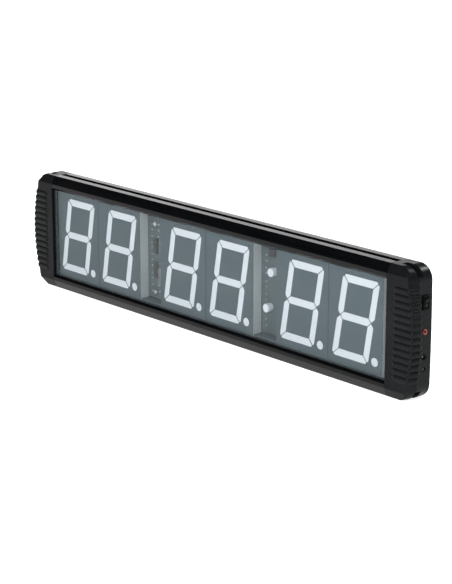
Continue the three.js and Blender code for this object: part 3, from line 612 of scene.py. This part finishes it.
def between(value, pairs):
    """The height at a value on the line through (value, height) pairs."""
    for (x0, y0), (x1, y1) in zip(pairs, pairs[1:]):
        if value <= x1:
            return y0 + (y1 - y0) * max(0.0, (value - x0) / (x1 - x0))
    return pairs[-1][1]


def eased(start, corner, end):
    """Points on a smooth curve from start to end that leaves room round the corner."""
    points = []
    for i in range(EASE_STEPS + 1):
        share = i / EASE_STEPS
        point = Vector(start) * (1 - share) ** 2 + Vector(end) * share ** 2
        points.append(tuple(point + Vector(corner) * 2 * share * (1 - share)))
    return points


def cap_outline(half, bow, inset=0, clip=0, seam=SEAM):
    """The right cap in XZ: its corner arcs are cut off level where a bevel clips them."""
    radius = CORNER_RADIUS - inset
    half -= inset
    edge = max(inset, clip)
    start = math.asin(max(-1.0, min(1.0, (radius + inset - edge) / radius)))

    def on_arc(turn):
        return (half - radius + radius * math.cos(turn), radius + inset - radius * math.sin(turn))

    arc_start = start - EDGE_EASE / radius
    arc = [on_arc(arc_start * (1 - i / CORNER_STEPS)) for i in range(CORNER_STEPS + 1)]
    corner = on_arc(start)
    lower = [(seam, edge), *eased((corner[0] - EDGE_EASE, edge), corner, arc[0]), *arc[1:]]
    reach = HEIGHT - 2 * (radius + inset)
    side = []
    for i in range(1, BOW_STEPS):
        along = i / BOW_STEPS
        side.append((half + bow * 4 * along * (1 - along), radius + inset + along * reach))
    upper = [(x, HEIGHT - z) for x, z in reversed(lower)]
    return lower + side + upper


def cap_bow(y):
    """How far the end face bows out at mid height; it drops back at the step."""
    return between(y, [(FRONT, CAP_BOW_FRONT), (STEP_TOP, CAP_BOW_STEP),
                       (STEP_FOOT, CAP_BOW_REAR), (REAR, CAP_BOW_REAR)])


def side_face(y, z):
    """x of the cap's end face, without ribs."""
    along = min(1.0, max(0.0, (z - CORNER_RADIUS) / (HEIGHT - 2 * CORNER_RADIUS)))
    taper = between(y, [(FRONT, CAP_TAPER), (CAP_STEP, 0), (REAR, 0)])
    return CAP_HALF - taper + cap_bow(y) * 4 * along * (1 - along)


def cap_body():
    """The cap's solid outside: a bevel above and below, a tapered end face and a step."""
    drop, drop_ys = inset_curve([
        (FRONT, BEVEL_TALL + OVERRUN, 0), (FRONT, BEVEL_TALL, 1.6), (FRONT + BEVEL_DEEP, 0, 1.2),
        (REAR, 0, 1.0), (REAR, OVERRUN, 0),
    ])
    taper, taper_ys = inset_curve([
        (FRONT, CAP_TAPER + OVERRUN, 0), (FRONT, CAP_TAPER, 1.0), (CAP_STEP, 0, 4),
        (REAR, 0, 1.0), (REAR, OVERRUN, 0),
    ])
    ys = sorted({round(y, 3) for y in drop_ys + taper_ys + [STEP_TOP, STEP_FOOT, FRONT, REAR]})
    rings = []
    for y in ys:
        if y < CAP_STEP:
            outline = cap_outline(CAP_HALF - taper(y), cap_bow(y), clip=drop(y))
        else:
            outline = cap_outline(CAP_HALF, cap_bow(y), inset=drop(y))
        rings.append([(x, y, z) for x, z in outline])
    return loft("cap_body", rings)


def cap_rib(index):
    """A half-round rib that starts on the front, turns the edge and ends at the step."""
    middle = HEIGHT / 2 + (index - (RIB_COUNT - 1) / 2) * RIB_PITCH
    edge = side_face(FRONT, middle)
    path = []
    for i in range(5):
        turn = math.pi / 2 * i / 4
        path.append((RIB_START + RIB_NOSE * (1 - math.cos(turn)), FRONT, math.sin(turn), 0))
    path.append((edge - RIB_TURN - RIB_LEAD, FRONT, 1, 0))
    for i in range(6):
        turn = RIB_LEAN * i / 5
        path.append((edge - RIB_TURN + RIB_TURN * math.sin(turn),
                     FRONT + RIB_TURN * (1 - math.cos(turn)), 1, turn))
    for share in (0.35, 0.7, 0.93, 1.0):
        y = FRONT + RIB_TURN + (RIB_END - FRONT - RIB_TURN) * share
        path.append((side_face(y, middle), y, 1 if share < 1 else 0.6, RIB_LEAN))
    arc = [(math.cos(math.pi * i / 10), math.sin(math.pi * i / 10)) for i in range(1, 10)]
    profile = [(1, 0), *arc, (-1, 0)]
    rings = []
    for x, y, size, turn in path:
        out_x, out_y = math.sin(turn), -math.cos(turn)
        half = RIB_WIDTH / 2 * max(size, 0.25)
        ring = []
        for across, up in profile:
            rise = (RIB_HEIGHT - HAIR) * size * up
            ring.append((x + out_x * rise, y + out_y * rise, middle + across * half))
        for side in (-1, 0):
            ring.append((x - out_x * RIB_SINK, y - out_y * RIB_SINK, ring[side][2]))
        rings.append(ring)
    return loft("rib", rings)


def notch_blocks(spread, drop, far):
    """The spaces round the notches, grown by a spread, at the bottom and top corners."""
    front, rear, start = NOTCH_FRONT - spread, NOTCH_REAR + spread, NOTCH_START - spread
    return [
        block("notch", (start, front, low), (far, rear, high))
        for low, high in ((-2, drop), (HEIGHT - drop, HEIGHT + 2))
    ]


def cap_hollow():
    """The space inside, open towards the rails, with the front bevels' slant."""
    outline = cap_outline(CAP_HALF - 1, 0, CAP_WALL, seam=SEAM - 4)
    hollow = prism("hollow", outline, FRONT + LIP, REAR - CAP_WALL)
    slant_low = BEVEL_TALL * (1 - LIP / BEVEL_DEEP) + CAP_WALL * BEVEL_LENGTH / BEVEL_DEEP
    slant_top = FRONT + BEVEL_DEEP + CAP_WALL * (BEVEL_LENGTH - BEVEL_DEEP) / BEVEL_TALL
    section = [
        (FRONT + LIP, slant_low),
        (slant_top, CAP_WALL),
        (REAR - CAP_WALL, CAP_WALL),
        (REAR - CAP_WALL, HEIGHT - CAP_WALL),
        (slant_top, HEIGHT - CAP_WALL),
        (FRONT + LIP, HEIGHT - slant_low),
    ]
    carve(hollow, [prism("section", section, SEAM - 10, CAP_HALF + 10, "X")], "INTERSECT")
    return carve(hollow, notch_blocks(NOTCH_WALL, NOTCH_DROP + NOTCH_WALL, CAP_HALF + 8))


def corner_notches():
    """The notches' bodies, which leave the cap's core standing."""
    notches = []
    for notch in notch_blocks(0, NOTCH_DROP, CAP_HALF + 6):
        inner = cap_outline(CAP_HALF, 0, NOTCH_DEPTH, seam=NOTCH_START - 4)
        notches.append(carve(notch, [prism("core", inner, NOTCH_FRONT - 1, NOTCH_REAR + 1)]))
    return notches


def end_cap(name, side):
    """side is 1 for the right-hand cap, which holds the controls, and -1 for its mirror image."""
    cap = cap_body()
    cap.name = name
    ribs = join("ribs", [cap_rib(index) for index in range(RIB_COUNT)])
    carve(cap, [ribs], "UNION")
    tools = [cap_hollow(), *corner_notches()]
    bore = [(0, REAR + 1), (BORE_HEAD, REAR + 1), (BORE_HEAD, PANEL_HIGH.y), (BORE_SHANK, PANEL_HIGH.y),
            (BORE_SHANK, 8), (0, 8)]
    for low, high in (span("cap_screw_3"), span("cap_screw_4")):
        tools.append(turned("bore", bore, ((low.x + high.x) / 2, (low.z + high.z) / 2)))
    if side > 0:
        z = (SWITCH_LOW.z + SWITCH_HIGH.z) / 2
        half_y, half_z = CUT_OUT_HALF
        inside, outside = CAP_HALF - 8, CAP_HALF + 5
        tools.append(block("cut_out", (inside, CONTROL_ROW - half_y, z - half_z),
                           (outside, CONTROL_ROW + half_y, z + half_z)))
        for low, high, radius in ((RING_LOW, RING_HIGH, RING_HOLE), (INLET_LOW, INLET_HIGH, INLET_HOLE),
                                  (BUTTON_LOW, BUTTON_HIGH, BUTTON_HOLE)):
            centre = (CONTROL_ROW, (low.z + high.z) / 2)
            mouth = radius + 0.7
            profile = [(0, inside), (radius, inside), (radius, CAP_HALF + 0.1), (mouth, CAP_HALF + 0.8),
                       (mouth, outside), (0, outside)]
            tools.append(turned("hole", profile, centre, "X"))
    carve(cap, tools)
    if side < 0:
        cap.data.transform(Matrix.Scale(-1, 4, (1, 0, 0)))
        cap.data.flip_normals()
    return shade(cap)


for hand, side in (("right", 1), ("left", -1)):
    paint(end_cap(f"cap_{hand}", side), cap_plastic, replaces=[f"end_cap_{hand}"])


# ---- the window ----
def window():
    """The smoked pane, with its edges eased."""
    pane = block("window", PANE_LOW, PANE_HIGH)
    soften(pane, 0.3, 2)
    paint(shade(pane), window_plastic, replaces=["window_pane"])


window()


# ---- the digits ----
def strokes():
    """Seven outlines about a digit's centre, slanted, each with its corners eased."""
    wide = DIGIT_WIDTH / 2
    tall = DIGIT_HEIGHT / 2
    inner_x = wide - STROKE
    inner_z = tall - STROKE
    half_cut = CORNER_CUT / 2
    gap = STROKE_GAP
    tip = STROKE / 2
    top = [(-inner_x + gap, inner_z), (inner_x - gap, inner_z),
           (wide - half_cut - gap, tall - half_cut), (wide - CORNER_CUT - gap, tall),
           (-wide + CORNER_CUT + gap, tall), (-wide + half_cut + gap, tall - half_cut)]
    side = [(-wide + tip, gap), (-inner_x, tip + gap), (-inner_x, inner_z - gap),
            (-wide + half_cut, tall - half_cut - gap), (-wide, tall - CORNER_CUT - gap),
            (-wide, tip + gap)]
    middle = [(-inner_x + gap, -tip), (inner_x - gap, -tip), (wide - tip - gap, 0),
              (inner_x - gap, tip), (-inner_x + gap, tip), (-wide + tip + gap, 0)]

    def flip(outline, sx, sz):
        turned_over = [(sx * x, sz * z) for x, z in outline]
        return turned_over[::-1] if sx * sz < 0 else turned_over

    outlines = [top, middle, flip(top, 1, -1), side]
    outlines += [flip(side, sx, sz) for sx, sz in ((-1, 1), (1, -1), (-1, -1))]
    return [[(x + DIGIT_SLANT * z, z) for x, z in fillet(outline, 0.7, 3)] for outline in outlines]


def digit_meshes():
    """One housing and one set of strokes, about the digit's centre; all six digits share them."""
    half = (HOUSING_HIGH.x - HOUSING_LOW.x) / 2
    tall = (HOUSING_HIGH.z - HOUSING_LOW.z) / 2
    housing = block("housing", (-half, DIGIT_FACE, -tall), (half, HOUSING_HIGH.y, tall))
    soften(housing, 0.5, 3)
    well_floor = DIGIT_FACE + WELL_DEPTH
    outlines = [*strokes(), circle(POINT_RADIUS, POINT_PLACE, 40)]
    carve(housing, [prism("well", outline, DIGIT_FACE - 1, well_floor) for outline in outlines])
    for finish in (module_side, module_face, well_dark):
        housing.data.materials.append(finish)
    # Faces that look forward are the module's face, or the floor of a well if they lie deeper.
    for face in housing.data.polygons:
        y = face.center.y / MM
        if face.normal.y < -0.3:
            face.material_index = 1 if y < DIGIT_FACE + 0.6 else 2
    light = join("strokes", [
        prism("stroke", outline, DIGIT_FACE + RESIN_RECESS, well_floor - 0.05) for outline in outlines
    ])
    for vertex in light.data.vertices:
        vertex.co.x *= RESIN_SHRINK
    soften(light, 0.22, 2, 50)
    light.data.materials.append(resin)
    return shade(housing), shade(light)


def digits():
    """The six digits. The left housing of each pair has walls as dark as its face: painted shade for the
    narrow gap inside each pair.
    """
    housing, light = digit_meshes()
    for number in range(1, 7):
        low, high = span(f"digit_{number}_housing")
        place = Vector(((low.x + high.x) / 2 * MM, 0, DIGIT_MID * MM))
        for source, name, node, slot in (
            (housing, "module", f"digit_{number}_housing", "module_grey"),
            (light, "figure", f"digit_{number}_segments", "segment_white"),
        ):
            piece = source.copy()
            # Painted shade: the left module of each pair wears its face colour on its walls too, since those
            # walls face the narrow, shaded gap inside the pair.
            if name == "module" and number % 2:
                piece.data = source.data.copy()
                piece.data.materials[0] = module_face
            piece.name = f"{name}_{number}"
            piece.location = place
            bpy.context.scene.collection.objects.link(piece)
            paint(piece, None, replaces=[node])
    for source in (housing, light):
        bpy.data.objects.remove(source)


digits()


# ---- the display board and what shows in its gaps ----
def middle(node):
    """Centre of a CAD node."""
    low, high = span(node)
    return (low + high) / 2


def legs(across, low, high, face, foot, count):
    """Bent chip legs on both sides of a chip, from its face's mid depth down to the foot."""
    parts = []
    thick = 0.16
    pitch = (high - low) / count
    for side in (-1, 1):
        for i in range(count):
            z = low + pitch * (i + 0.5)
            edge = side * across / 2
            path = [(-0.1, face), (0.55, face), (0.8, foot - 0.15), (1.3, foot - 0.15), (1.3, foot),
                    (0.62, foot), (0.4, face + thick), (-0.1, face + thick)]
            outline = [(edge + side * out, y) for out, y in path]
            parts.append(prism("leg", outline, z - 0.22, z + 0.22, "Z"))
    return join("legs", parts)


def chip(node):
    """A driver chip with its legs and its end notch, standing on the display board."""
    low, high = span(node)
    centre = (low + high) / 2
    across = high.x - low.x - 2.6
    tall = high.z - low.z
    body = block("chip", (-across / 2, low.y + 0.3, low.z), (across / 2, high.y, high.z))
    soften(body, 0.18, 2)
    carve(body, [turned("notch", [(0, low.y), (0.7, low.y), (0.7, low.y + 0.6), (0, low.y + 0.6)],
                        (across / 2 - 1.4, low.z + 1.4), sides=20)])
    body.data.materials.append(chip_resin)
    pins = legs(across, low.z, high.z, (low.y + high.y) / 2, BOARD_LOW.y - HAIR, max(4, round(tall / 1.27)))
    pins.data.materials.append(plated)
    piece = join(node + "_body", [body, pins])
    piece.location.x = centre.x * MM
    paint(shade(piece), chip_resin, replaces=[node])


def receiver():
    """The remote control's receiver: a moulded block with a round lens."""
    low, high = span("ir_receiver")
    centre = (low + high) / 2
    body = block("body", (low.x, high.y - 3, low.z), (high.x, high.y, high.z))
    soften(body, 0.35, 3)
    turns = [math.pi / 2 * i / 7 for i in range(1, 8)]
    dome = [(2.4 * math.sin(turn), low.y + 1.9 * (1 - math.cos(turn))) for turn in turns]
    profile = [(0, low.y), *dome, (2.4, high.y - 2), (0, high.y - 2)]
    carve(body, [turned("lens", profile, (centre.x, centre.z))], "UNION")
    paint(shade(body), chip_resin, replaces=["ir_receiver"])


def small_part(low, high, end_share=0.26):
    """A surface-mounted part: a block between two plated ends, standing on the board."""
    parts = []
    upright = high[2] - low[2] > high[0] - low[0]
    axis = 2 if upright else 0
    length = high[axis] - low[axis]
    bounds = [low[axis], low[axis] + end_share * length, high[axis] - end_share * length, high[axis]]
    for index in range(3):
        near, far = list(low), list(high)
        near[axis], far[axis] = bounds[index], bounds[index + 1]
        if index == 1:
            near[1] += 0.06
        piece = block("part", near, far)
        soften(piece, 0.06, 1)
        piece.data.materials.append(part_grey if index == 1 else plated)
        parts.append(piece)
    return join("part", parts)


def board_parts():
    """Rows of small parts and a wire connector on the display board, in the gaps between pairs."""
    rng = random.Random(7)
    face = BOARD_LOW.y
    # The middle of each gap; the chips in the first one stand 3 mm left of it.
    first, second = middle("driver_chip_1").x + 3, middle("driver_chip_3").x
    parts = []
    receiver_z = middle("ir_receiver").z
    driver_zs = [middle(f"driver_chip_{i}").z for i in (1, 2)]
    screws = [middle(f"board_screw_{i}") for i in (1, 2)]
    for gap, columns in zip((first, second), PART_COLUMNS):
        for column in columns:
            for row in range(PART_ROWS):
                x = gap + column + rng.uniform(-0.6, 0.6)
                z = BOARD_LOW.z + 10 + row * PART_PITCH + rng.uniform(-1.2, 1.2)
                near_receiver = abs(z - receiver_z) < 7 and gap == first and column > 5
                beside_chips = gap == first and abs(column + 3) < 7
                near_chip = beside_chips and any(abs(z - driver_z) < 13 for driver_z in driver_zs)
                near_screw = any(math.hypot(x - place.x, z - place.z) < 5.6 for place in screws)
                if near_receiver or near_chip or near_screw:
                    continue
                half_x, half_z = (0.7, 1.1) if rng.random() < 0.5 else (1.3, 0.75)
                parts.append(small_part((x - half_x, face - 0.75, z - half_z),
                                        (x + half_x, face - HAIR, z + half_z)))
    piece = join("board_parts", parts)
    paint(shade(piece), plated)

    bottom, top = DIGIT_MID - 36, DIGIT_MID - 14
    shroud = block("connector", (first + 5.2, face - 5, bottom), (first + 10.6, face - 0.05, top))
    soften(shroud, 0.3, 2)
    well = block("well", (first + 6, face - 6, bottom + 0.8), (first + 9.8, face - 1.2, top - 0.8))
    carve(shroud, [well])
    shroud.data.materials.append(part_grey)
    pins = [block("pin", (first + 7.6, face - 4.2, bottom + 3.1 + i * PIN_PITCH),
                  (first + 8.2, face - 1, bottom + 3.7 + i * PIN_PITCH)) for i in range(PIN_COUNT)]
    for pin in pins:
        pin.data.materials.append(plated)
    paint(shade(join("board_connector", [shroud, *pins])), part_grey)


def gap_spacers():
    """Grey bars that join the modules below and above each gap, between window and board."""
    parts = []
    for left, right in ((2, 3), (4, 5)):
        low_x = span(f"digit_{left}_housing")[1].x + CLEARANCE
        high_x = span(f"digit_{right}_housing")[0].x - CLEARANCE
        for low_z in (HOUSING_LOW.z, HOUSING_HIGH.z - SPACER_TALL):
            bar = block("bar", (low_x, DIGIT_FACE + 0.8, low_z),
                        (high_x, BOARD_LOW.y - CLEARANCE, low_z + SPACER_TALL))
            soften(bar, 0.4, 2)
            parts.append(bar)
    paint(shade(join("gap_spacers", parts)), module_face)


for chip_number in (1, 2, 3):
    chip(f"driver_chip_{chip_number}")
receiver()
board_parts()
gap_spacers()


def colon_lamp(node):
    """A flat-faced lamp in milky resin with a rounded rim and a collar at the board."""
    low, high = span(node)
    centre = (low + high) / 2
    radius = (high.x - low.x) / 2 - HAIR
    rim = 1.1
    profile = [(0, low.y), (radius * 0.5, low.y + HAIR)]
    for i in range(7):
        turn = math.pi / 2 * i / 6
        profile.append((radius - rim + rim * math.sin(turn), low.y + rim * (1 - math.cos(turn))))
    collar = radius - 0.35
    profile += [(radius, high.y - 2.4), (collar, high.y - 2.2), (collar, high.y), (0, high.y)]
    piece = turned(node + "_body", profile, (centre.x, centre.z), sides=56)
    paint(shade(piece), resin, replaces=[node])


for lamp_node in ("colon_lamp_upper", "colon_lamp_lower"):
    colon_lamp(lamp_node)


# ---- screws ----
def screw(node, seat, facing, head_radius, shank_radius, finish):
    """A pan-head cross-recess screw. Its head stands on the seat and faces along facing Y."""
    low, high = span(node)
    centre = ((low.x + high.x) / 2, (low.z + high.z) / 2)
    tip = low.y if facing > 0 else high.y
    tall = abs((high.y if facing > 0 else low.y) - seat)
    dome = [(1, 0), (1, 0.3), (0.97, 0.5), (0.88, 0.72), (0.72, 0.87), (0.5, 0.96), (0.25, 1.0), (0, 1)]
    profile = [(0, tip), (shank_radius * 0.8, tip), (shank_radius, tip + facing * 0.4), (shank_radius, seat)]
    profile += [(head_radius * out, seat + facing * tall * up) for out, up in dome]
    piece = turned(node + "_body", profile, centre, sides=36)
    floor, top = seat + facing * tall * 0.35, seat + facing * (tall + 1)
    arm, wide = head_radius * 0.55, head_radius * 0.13
    tools = []
    for turn in (0.35, 0.35 + math.pi / 2):
        across = (math.cos(turn), math.sin(turn))
        corners = [(s * arm, w * wide) for s, w in ((-1, -1), (1, -1), (1, 1), (-1, 1))]
        outline = [(centre[0] + u * across[0] - v * across[1], centre[1] + u * across[1] + v * across[0])
                   for u, v in corners]
        tools.append(prism("recess", outline, min(floor, top), max(floor, top)))
    carve(piece, tools)
    paint(shade(piece), finish, replaces=[node])


for number in range(1, 5):
    for kind in ("panel_screw", "cap_screw"):
        screw(f"{kind}_{number}", PANEL_HIGH.y + CLEARANCE, 1, 3.4, 1.5, black_zinc)
for number in (1, 2):
    screw(f"board_screw_{number}", BOARD_LOW.y - CLEARANCE, -1, 3.2, 1.4, plated)


# ---- the back panel ----
def keyhole(x, z, radius, slot, rise):
    """A round hole that runs up into a slot; slot is half the slot's width."""
    start = math.acos(slot / radius)
    points = []
    for i in range(33):
        turn = start - (2 * start + math.pi) * i / 32
        points.append((x + radius * math.cos(turn), z + radius * math.sin(turn)))
    points = [p for p in points if p[1] < z + radius * math.sin(start) + 1e-6]
    for i in range(17):
        turn = math.pi * (1 - i / 16)
        points.append((x + slot * math.cos(turn), z + rise + slot * math.sin(turn)))
    return points


def stadium(x, z, half, radius):
    """A level slot with round ends."""
    turns = [math.pi * i / 12 for i in range(13)]
    right = [(x + half + radius * math.sin(t), z - radius * math.cos(t)) for t in turns]
    left = [(x - half - radius * math.sin(t), z + radius * math.cos(t)) for t in turns]
    return right + left


def back_panel():
    """The steel panel, with keyholes set in shallow dished pads and two groups of vents."""
    front, rear = PANEL_LOW.y, PANEL_HIGH.y
    corners = fillet([(PANEL_LOW.x, PANEL_LOW.z), (PANEL_HIGH.x, PANEL_LOW.z),
                      (PANEL_HIGH.x, PANEL_HIGH.z), (PANEL_LOW.x, PANEL_HIGH.z)], 2)
    panel = prism("panel", corners, front, rear)
    soften(panel, 0.25, 2)
    tools = []
    dish = [(0, rear + 1), (17, rear + 1), (17, rear), (15.8, rear - 0.5), (0, rear - 0.5)]
    for x in KEYHOLE_XS:
        tools.append(turned("dish", dish, (x, KEYHOLE_Z + 4), sides=64))
        tools.append(prism("keyhole", keyhole(x, KEYHOLE_Z, 5, 2.6, 11), front - 1, rear + 1))
    for x in VENT_XS:
        for row in range(VENT_ROWS):
            outline = stadium(x, VENT_LOW + row * VENT_PITCH, VENT_HALF, VENT_RADIUS)
            tools.append(prism("vent", outline, front - 1, rear + 1))
    for number in range(1, 5):
        place = middle(f"panel_screw_{number}")
        tools.append(prism("hole", circle(1.9, (place.x, place.z), 24), front - 1, rear + 1))
    carve(panel, tools)
    paint(shade(panel), panel_paint, replaces=["back_panel"])


back_panel()


# ---- the controls in the right end ----
def rounded(centre, across, up, radius):
    """A rounded rectangle in YZ."""
    y, z = centre
    corners = [(y - across / 2, z - up / 2), (y + across / 2, z - up / 2),
               (y + across / 2, z + up / 2), (y - across / 2, z + up / 2)]
    return fillet(corners, radius, 6)


def power_switch():
    """The rocker switch: a framed housing, and the rocker with its two marks."""
    centre = (CONTROL_ROW, (SWITCH_LOW.z + SWITCH_HIGH.z) / 2)
    face = SWITCH_HIGH.x - SWITCH_FRAME
    outline = rounded(centre, SWITCH_HIGH.y - SWITCH_LOW.y, SWITCH_HIGH.z - SWITCH_LOW.z, 1.3)
    housing = prism("bezel", outline, face, SWITCH_HIGH.x, "X")
    soften(housing, 0.45, 3, 60)
    body = prism("body", rounded(centre, 8.4, 13.8, 0.6), SWITCH_LOW.x, face + 0.6, "X")
    carve(housing, [body], "UNION")
    mouth = prism("mouth", rounded(centre, 7.6, 12.6, 0.7), face - 6, SWITCH_HIGH.x + 1, "X")
    carve(housing, [mouth])
    housing.data.materials.append(switch_black)
    terminals = []
    for z in (centre[1] + 1.5, centre[1] + 5):
        terminals.append(block("terminal", (SWITCH_LOW.x - 5.5, CONTROL_ROW - 2.2, z - 0.4),
                               (SWITCH_LOW.x + 0.5, CONTROL_ROW + 2.2, z + 0.4)))
    for terminal in terminals:
        terminal.data.materials.append(plated)
    piece = join("switch_housing", [housing, *terminals])
    paint(shade(piece), switch_black, replaces=["power_switch_housing"])

    half = ROCKER_LONG / 2
    shares = [i / 14 for i in range(15)]
    dish = [(ROCKER_THICK - ROCKER_DISH * s * (1 - s), (half - 0.15) * (2 * s - 1)) for s in shares]
    outline = [(-ROCKER_THICK, -half * 0.55), (0, -half), *dish, (0, half), (-ROCKER_THICK, half * 0.55)]
    rocker = prism("rocker", outline, -3.3, 3.3)
    soften(rocker, 0.3, 3, 35)
    rocker.data.materials.append(switch_black)
    bar = block("mark", (1.7, -1.3, half - 3.25), (2.62, 1.3, half - 2.75))
    ring = turned("mark", [(1.25, 1.6), (1.25, 2.6), (0.85, 2.6), (0.85, 1.6)], (0, -half + 3), "X", 32)
    marks = [bar, ring]
    for mark in marks:
        mark.data.materials.append(mark_grey)
    rocker = join("rocker", [rocker, *marks])
    low, high = span("power_switch_rocker")
    pivot = Vector((face - PIVOT_DEPTH, CONTROL_ROW, (low.z + high.z) / 2)) * MM
    rocker.data.transform(Matrix.Translation(pivot) @ Matrix.Rotation(ROCKER_TILT, 4, "Y"))
    paint(shade(rocker), switch_black, "switch_rocker", ["power_switch_rocker"])


def sockets():
    """The audio socket's ring, the power inlet with its centre pin, and the button."""
    ring_z = (RING_LOW.z + RING_HIGH.z) / 2
    low, high = RING_LOW.x, RING_HIGH.x
    profile = [(3.25, low), (3.25, high - 0.5), (3.1, high - 0.15), (2.8, high), (2.3, high - 0.1),
               (1.95, high - 0.55), (1.86, high - 1.2), (1.86, low)]
    ring = turned("socket_ring", profile, (CONTROL_ROW, ring_z), "X", 48)
    paint(shade(ring), orange, replaces=["audio_jack_ring"])

    centre = (CONTROL_ROW, (INLET_LOW.z + INLET_HIGH.z) / 2)
    face = INLET_HIGH.x
    outer, inner = 3.1, 2.75
    body = block("inlet", INLET_LOW, (352.5, INLET_HIGH.y, INLET_HIGH.z))
    soften(body, 0.3, 2)
    bore = [(0, INLET_FLOOR), (inner, INLET_FLOOR), (inner, 355), (0, 355)]
    carve(body, [turned("bore", bore, centre, "X")])
    barrel = [(outer, 351.5), (outer, face - 0.3), (2.95, face), (2.8, face), (inner, face - 0.2),
              (inner, 351.5)]
    sleeve = turned("sleeve", barrel, centre, "X", 48)
    profile = [(0, INLET_FLOOR - 1), (1.05, INLET_FLOOR - 1), (1.05, face - 1.5), (0.8, face - 1.1),
               (0.4, face - 0.95), (0, face - 0.92)]
    pin = turned("pin", profile, centre, "X", 32)
    for piece, finish in ((body, socket_dark), (sleeve, socket_dark), (pin, pin_metal)):
        piece.data.materials.append(finish)
    paint(shade(join("inlet", [body, sleeve, pin])), socket_dark, replaces=["power_inlet"])

    button_z = (BUTTON_LOW.z + BUTTON_HIGH.z) / 2
    tip = BUTTON_HIGH.x
    profile = [(0, BUTTON_LOW.x), (2.1, BUTTON_LOW.x), (2.1, tip - 0.5), (1.95, tip - 0.15), (1.6, tip),
               (1.0, tip - 0.12), (0, tip - 0.2)]
    button = turned("button", profile, (CONTROL_ROW, button_z), "X", 40)
    paint(shade(button), socket_dark, "push_button", ["setup_button"])


power_switch()
sockets()


# ---- finishes on the CAD nodes that stay ----
standoffs = [f"board_standoff_{number}" for number in range(1, 5)]
joiners = [f"rail_joiner_{number}" for number in range(1, 5)]
for finish, names in (
    (foam, ["pane_gasket"]),
    (board_mask, ["display_board", "control_board"]),
    (chip_resin, ["processor_chip", "power_inductor"]),
    (socket_dark, ["buzzer", "cell_holder", "audio_jack", "setup_switch"]),
    (plated, ["coin_cell", "filter_capacitor", *standoffs, *joiners]),
    (lead_red, ["power_lead_red"]),
    (lead_black, ["power_lead_black"]),
):
    for name in names:
        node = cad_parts[name]
        node.data.materials.clear()
        node.data.materials.append(finish)


# ---- floor, light and camera ----
def lamp(name, place, target, size, radiance):
    """A soft rectangular light, placed and sized in metres, that the camera doesn't see."""
    data = bpy.data.lights.new(name, "AREA")
    data.shape = "RECTANGLE"
    data.size, data.size_y = size
    data.energy = math.pi * size[0] * size[1] * radiance
    obj = new_object(name, data)
    obj.location = place
    obj.rotation_mode = "QUATERNION"
    obj.rotation_quaternion = (Vector(target) - Vector(place)).to_track_quat("-Z", "Y")
    obj.visible_camera = False


def studio():
    """A pale floor that glows enough to burn out, a sky bright near the horizon, and four lights."""
    far = 30000
    corners = [(-far, -far, 0), (far, -far, 0), (far, far, 0), (-far, far, 0)]
    floor = make("floor", corners, [(0, 1, 2, 3)])
    floor.location.z = -0.0002
    pale = Nodes("pale_floor", (0.6, 0.6, 0.6), 0.7, specular=0.2)
    cloud = pale.remap(pale.noise(3, 3), 0, 1)
    pale.link(pale.blend(cloud, (0.59, 0.59, 0.59), (0.61, 0.61, 0.61)), "Base Color")
    pale.shader.inputs["Emission Color"].default_value = (1, 1, 1, 1)
    pale.shader.inputs["Emission Strength"].default_value = FLOOR_GLOW
    floor.data.materials.append(pale.material)

    world = bpy.data.worlds.new("studio")
    bpy.context.scene.world = world
    world.use_nodes = True
    tree = world.node_tree
    split = tree.nodes.new("ShaderNodeSeparateXYZ")
    tree.links.new(tree.nodes.new("ShaderNodeTexCoord").outputs["Generated"], split.inputs[0])
    ramp = tree.nodes.new("ShaderNodeMapRange")
    tree.links.new(split.outputs["Z"], ramp.inputs["Value"])
    set_range(ramp, 0.12, 0.28, 0.9, 0.02)
    tree.links.new(ramp.outputs[0], tree.nodes["Background"].inputs["Strength"])
    tree.nodes["Background"].inputs["Color"].default_value = (1, 1, 1, 1)

    lamp("key", (1.5, -3.3, 1.8), (0, 0, 0.08), (2.2, 2.2), 14.5)
    lamp("backdrop", (-2.6, 3.2, 0.9), (0, 0, 0.1), (5, 1.3), 1.3)
    lamp("softbox", (0.68, 1.4, 1.8), (0.34, 0, 0.15), (0.6, 0.6), 36)
    lamp("accent", (0.87, 0.48, 2.0), (0.34, 0, 0.15), (0.4, 0.4), 36)


def camera():
    """The camera of the photograph's view, turned by its yaw and dipped below level."""
    data = bpy.data.cameras.new("camera")
    data.sensor_width = 36
    data.lens = LENS
    data.clip_end = 60
    obj = new_object("camera", data)
    obj.location = CAMERA_PLACE
    ahead = Vector((
        math.sin(CAMERA_YAW) * math.cos(CAMERA_DIP),
        math.cos(CAMERA_YAW) * math.cos(CAMERA_DIP),
        -math.sin(CAMERA_DIP),
    ))
    obj.rotation_mode = "QUATERNION"
    obj.rotation_quaternion = ahead.to_track_quat("-Z", "Y")
    bpy.context.scene.camera = obj


studio()
camera()
bpy.context.scene.view_settings.view_transform = "Standard"
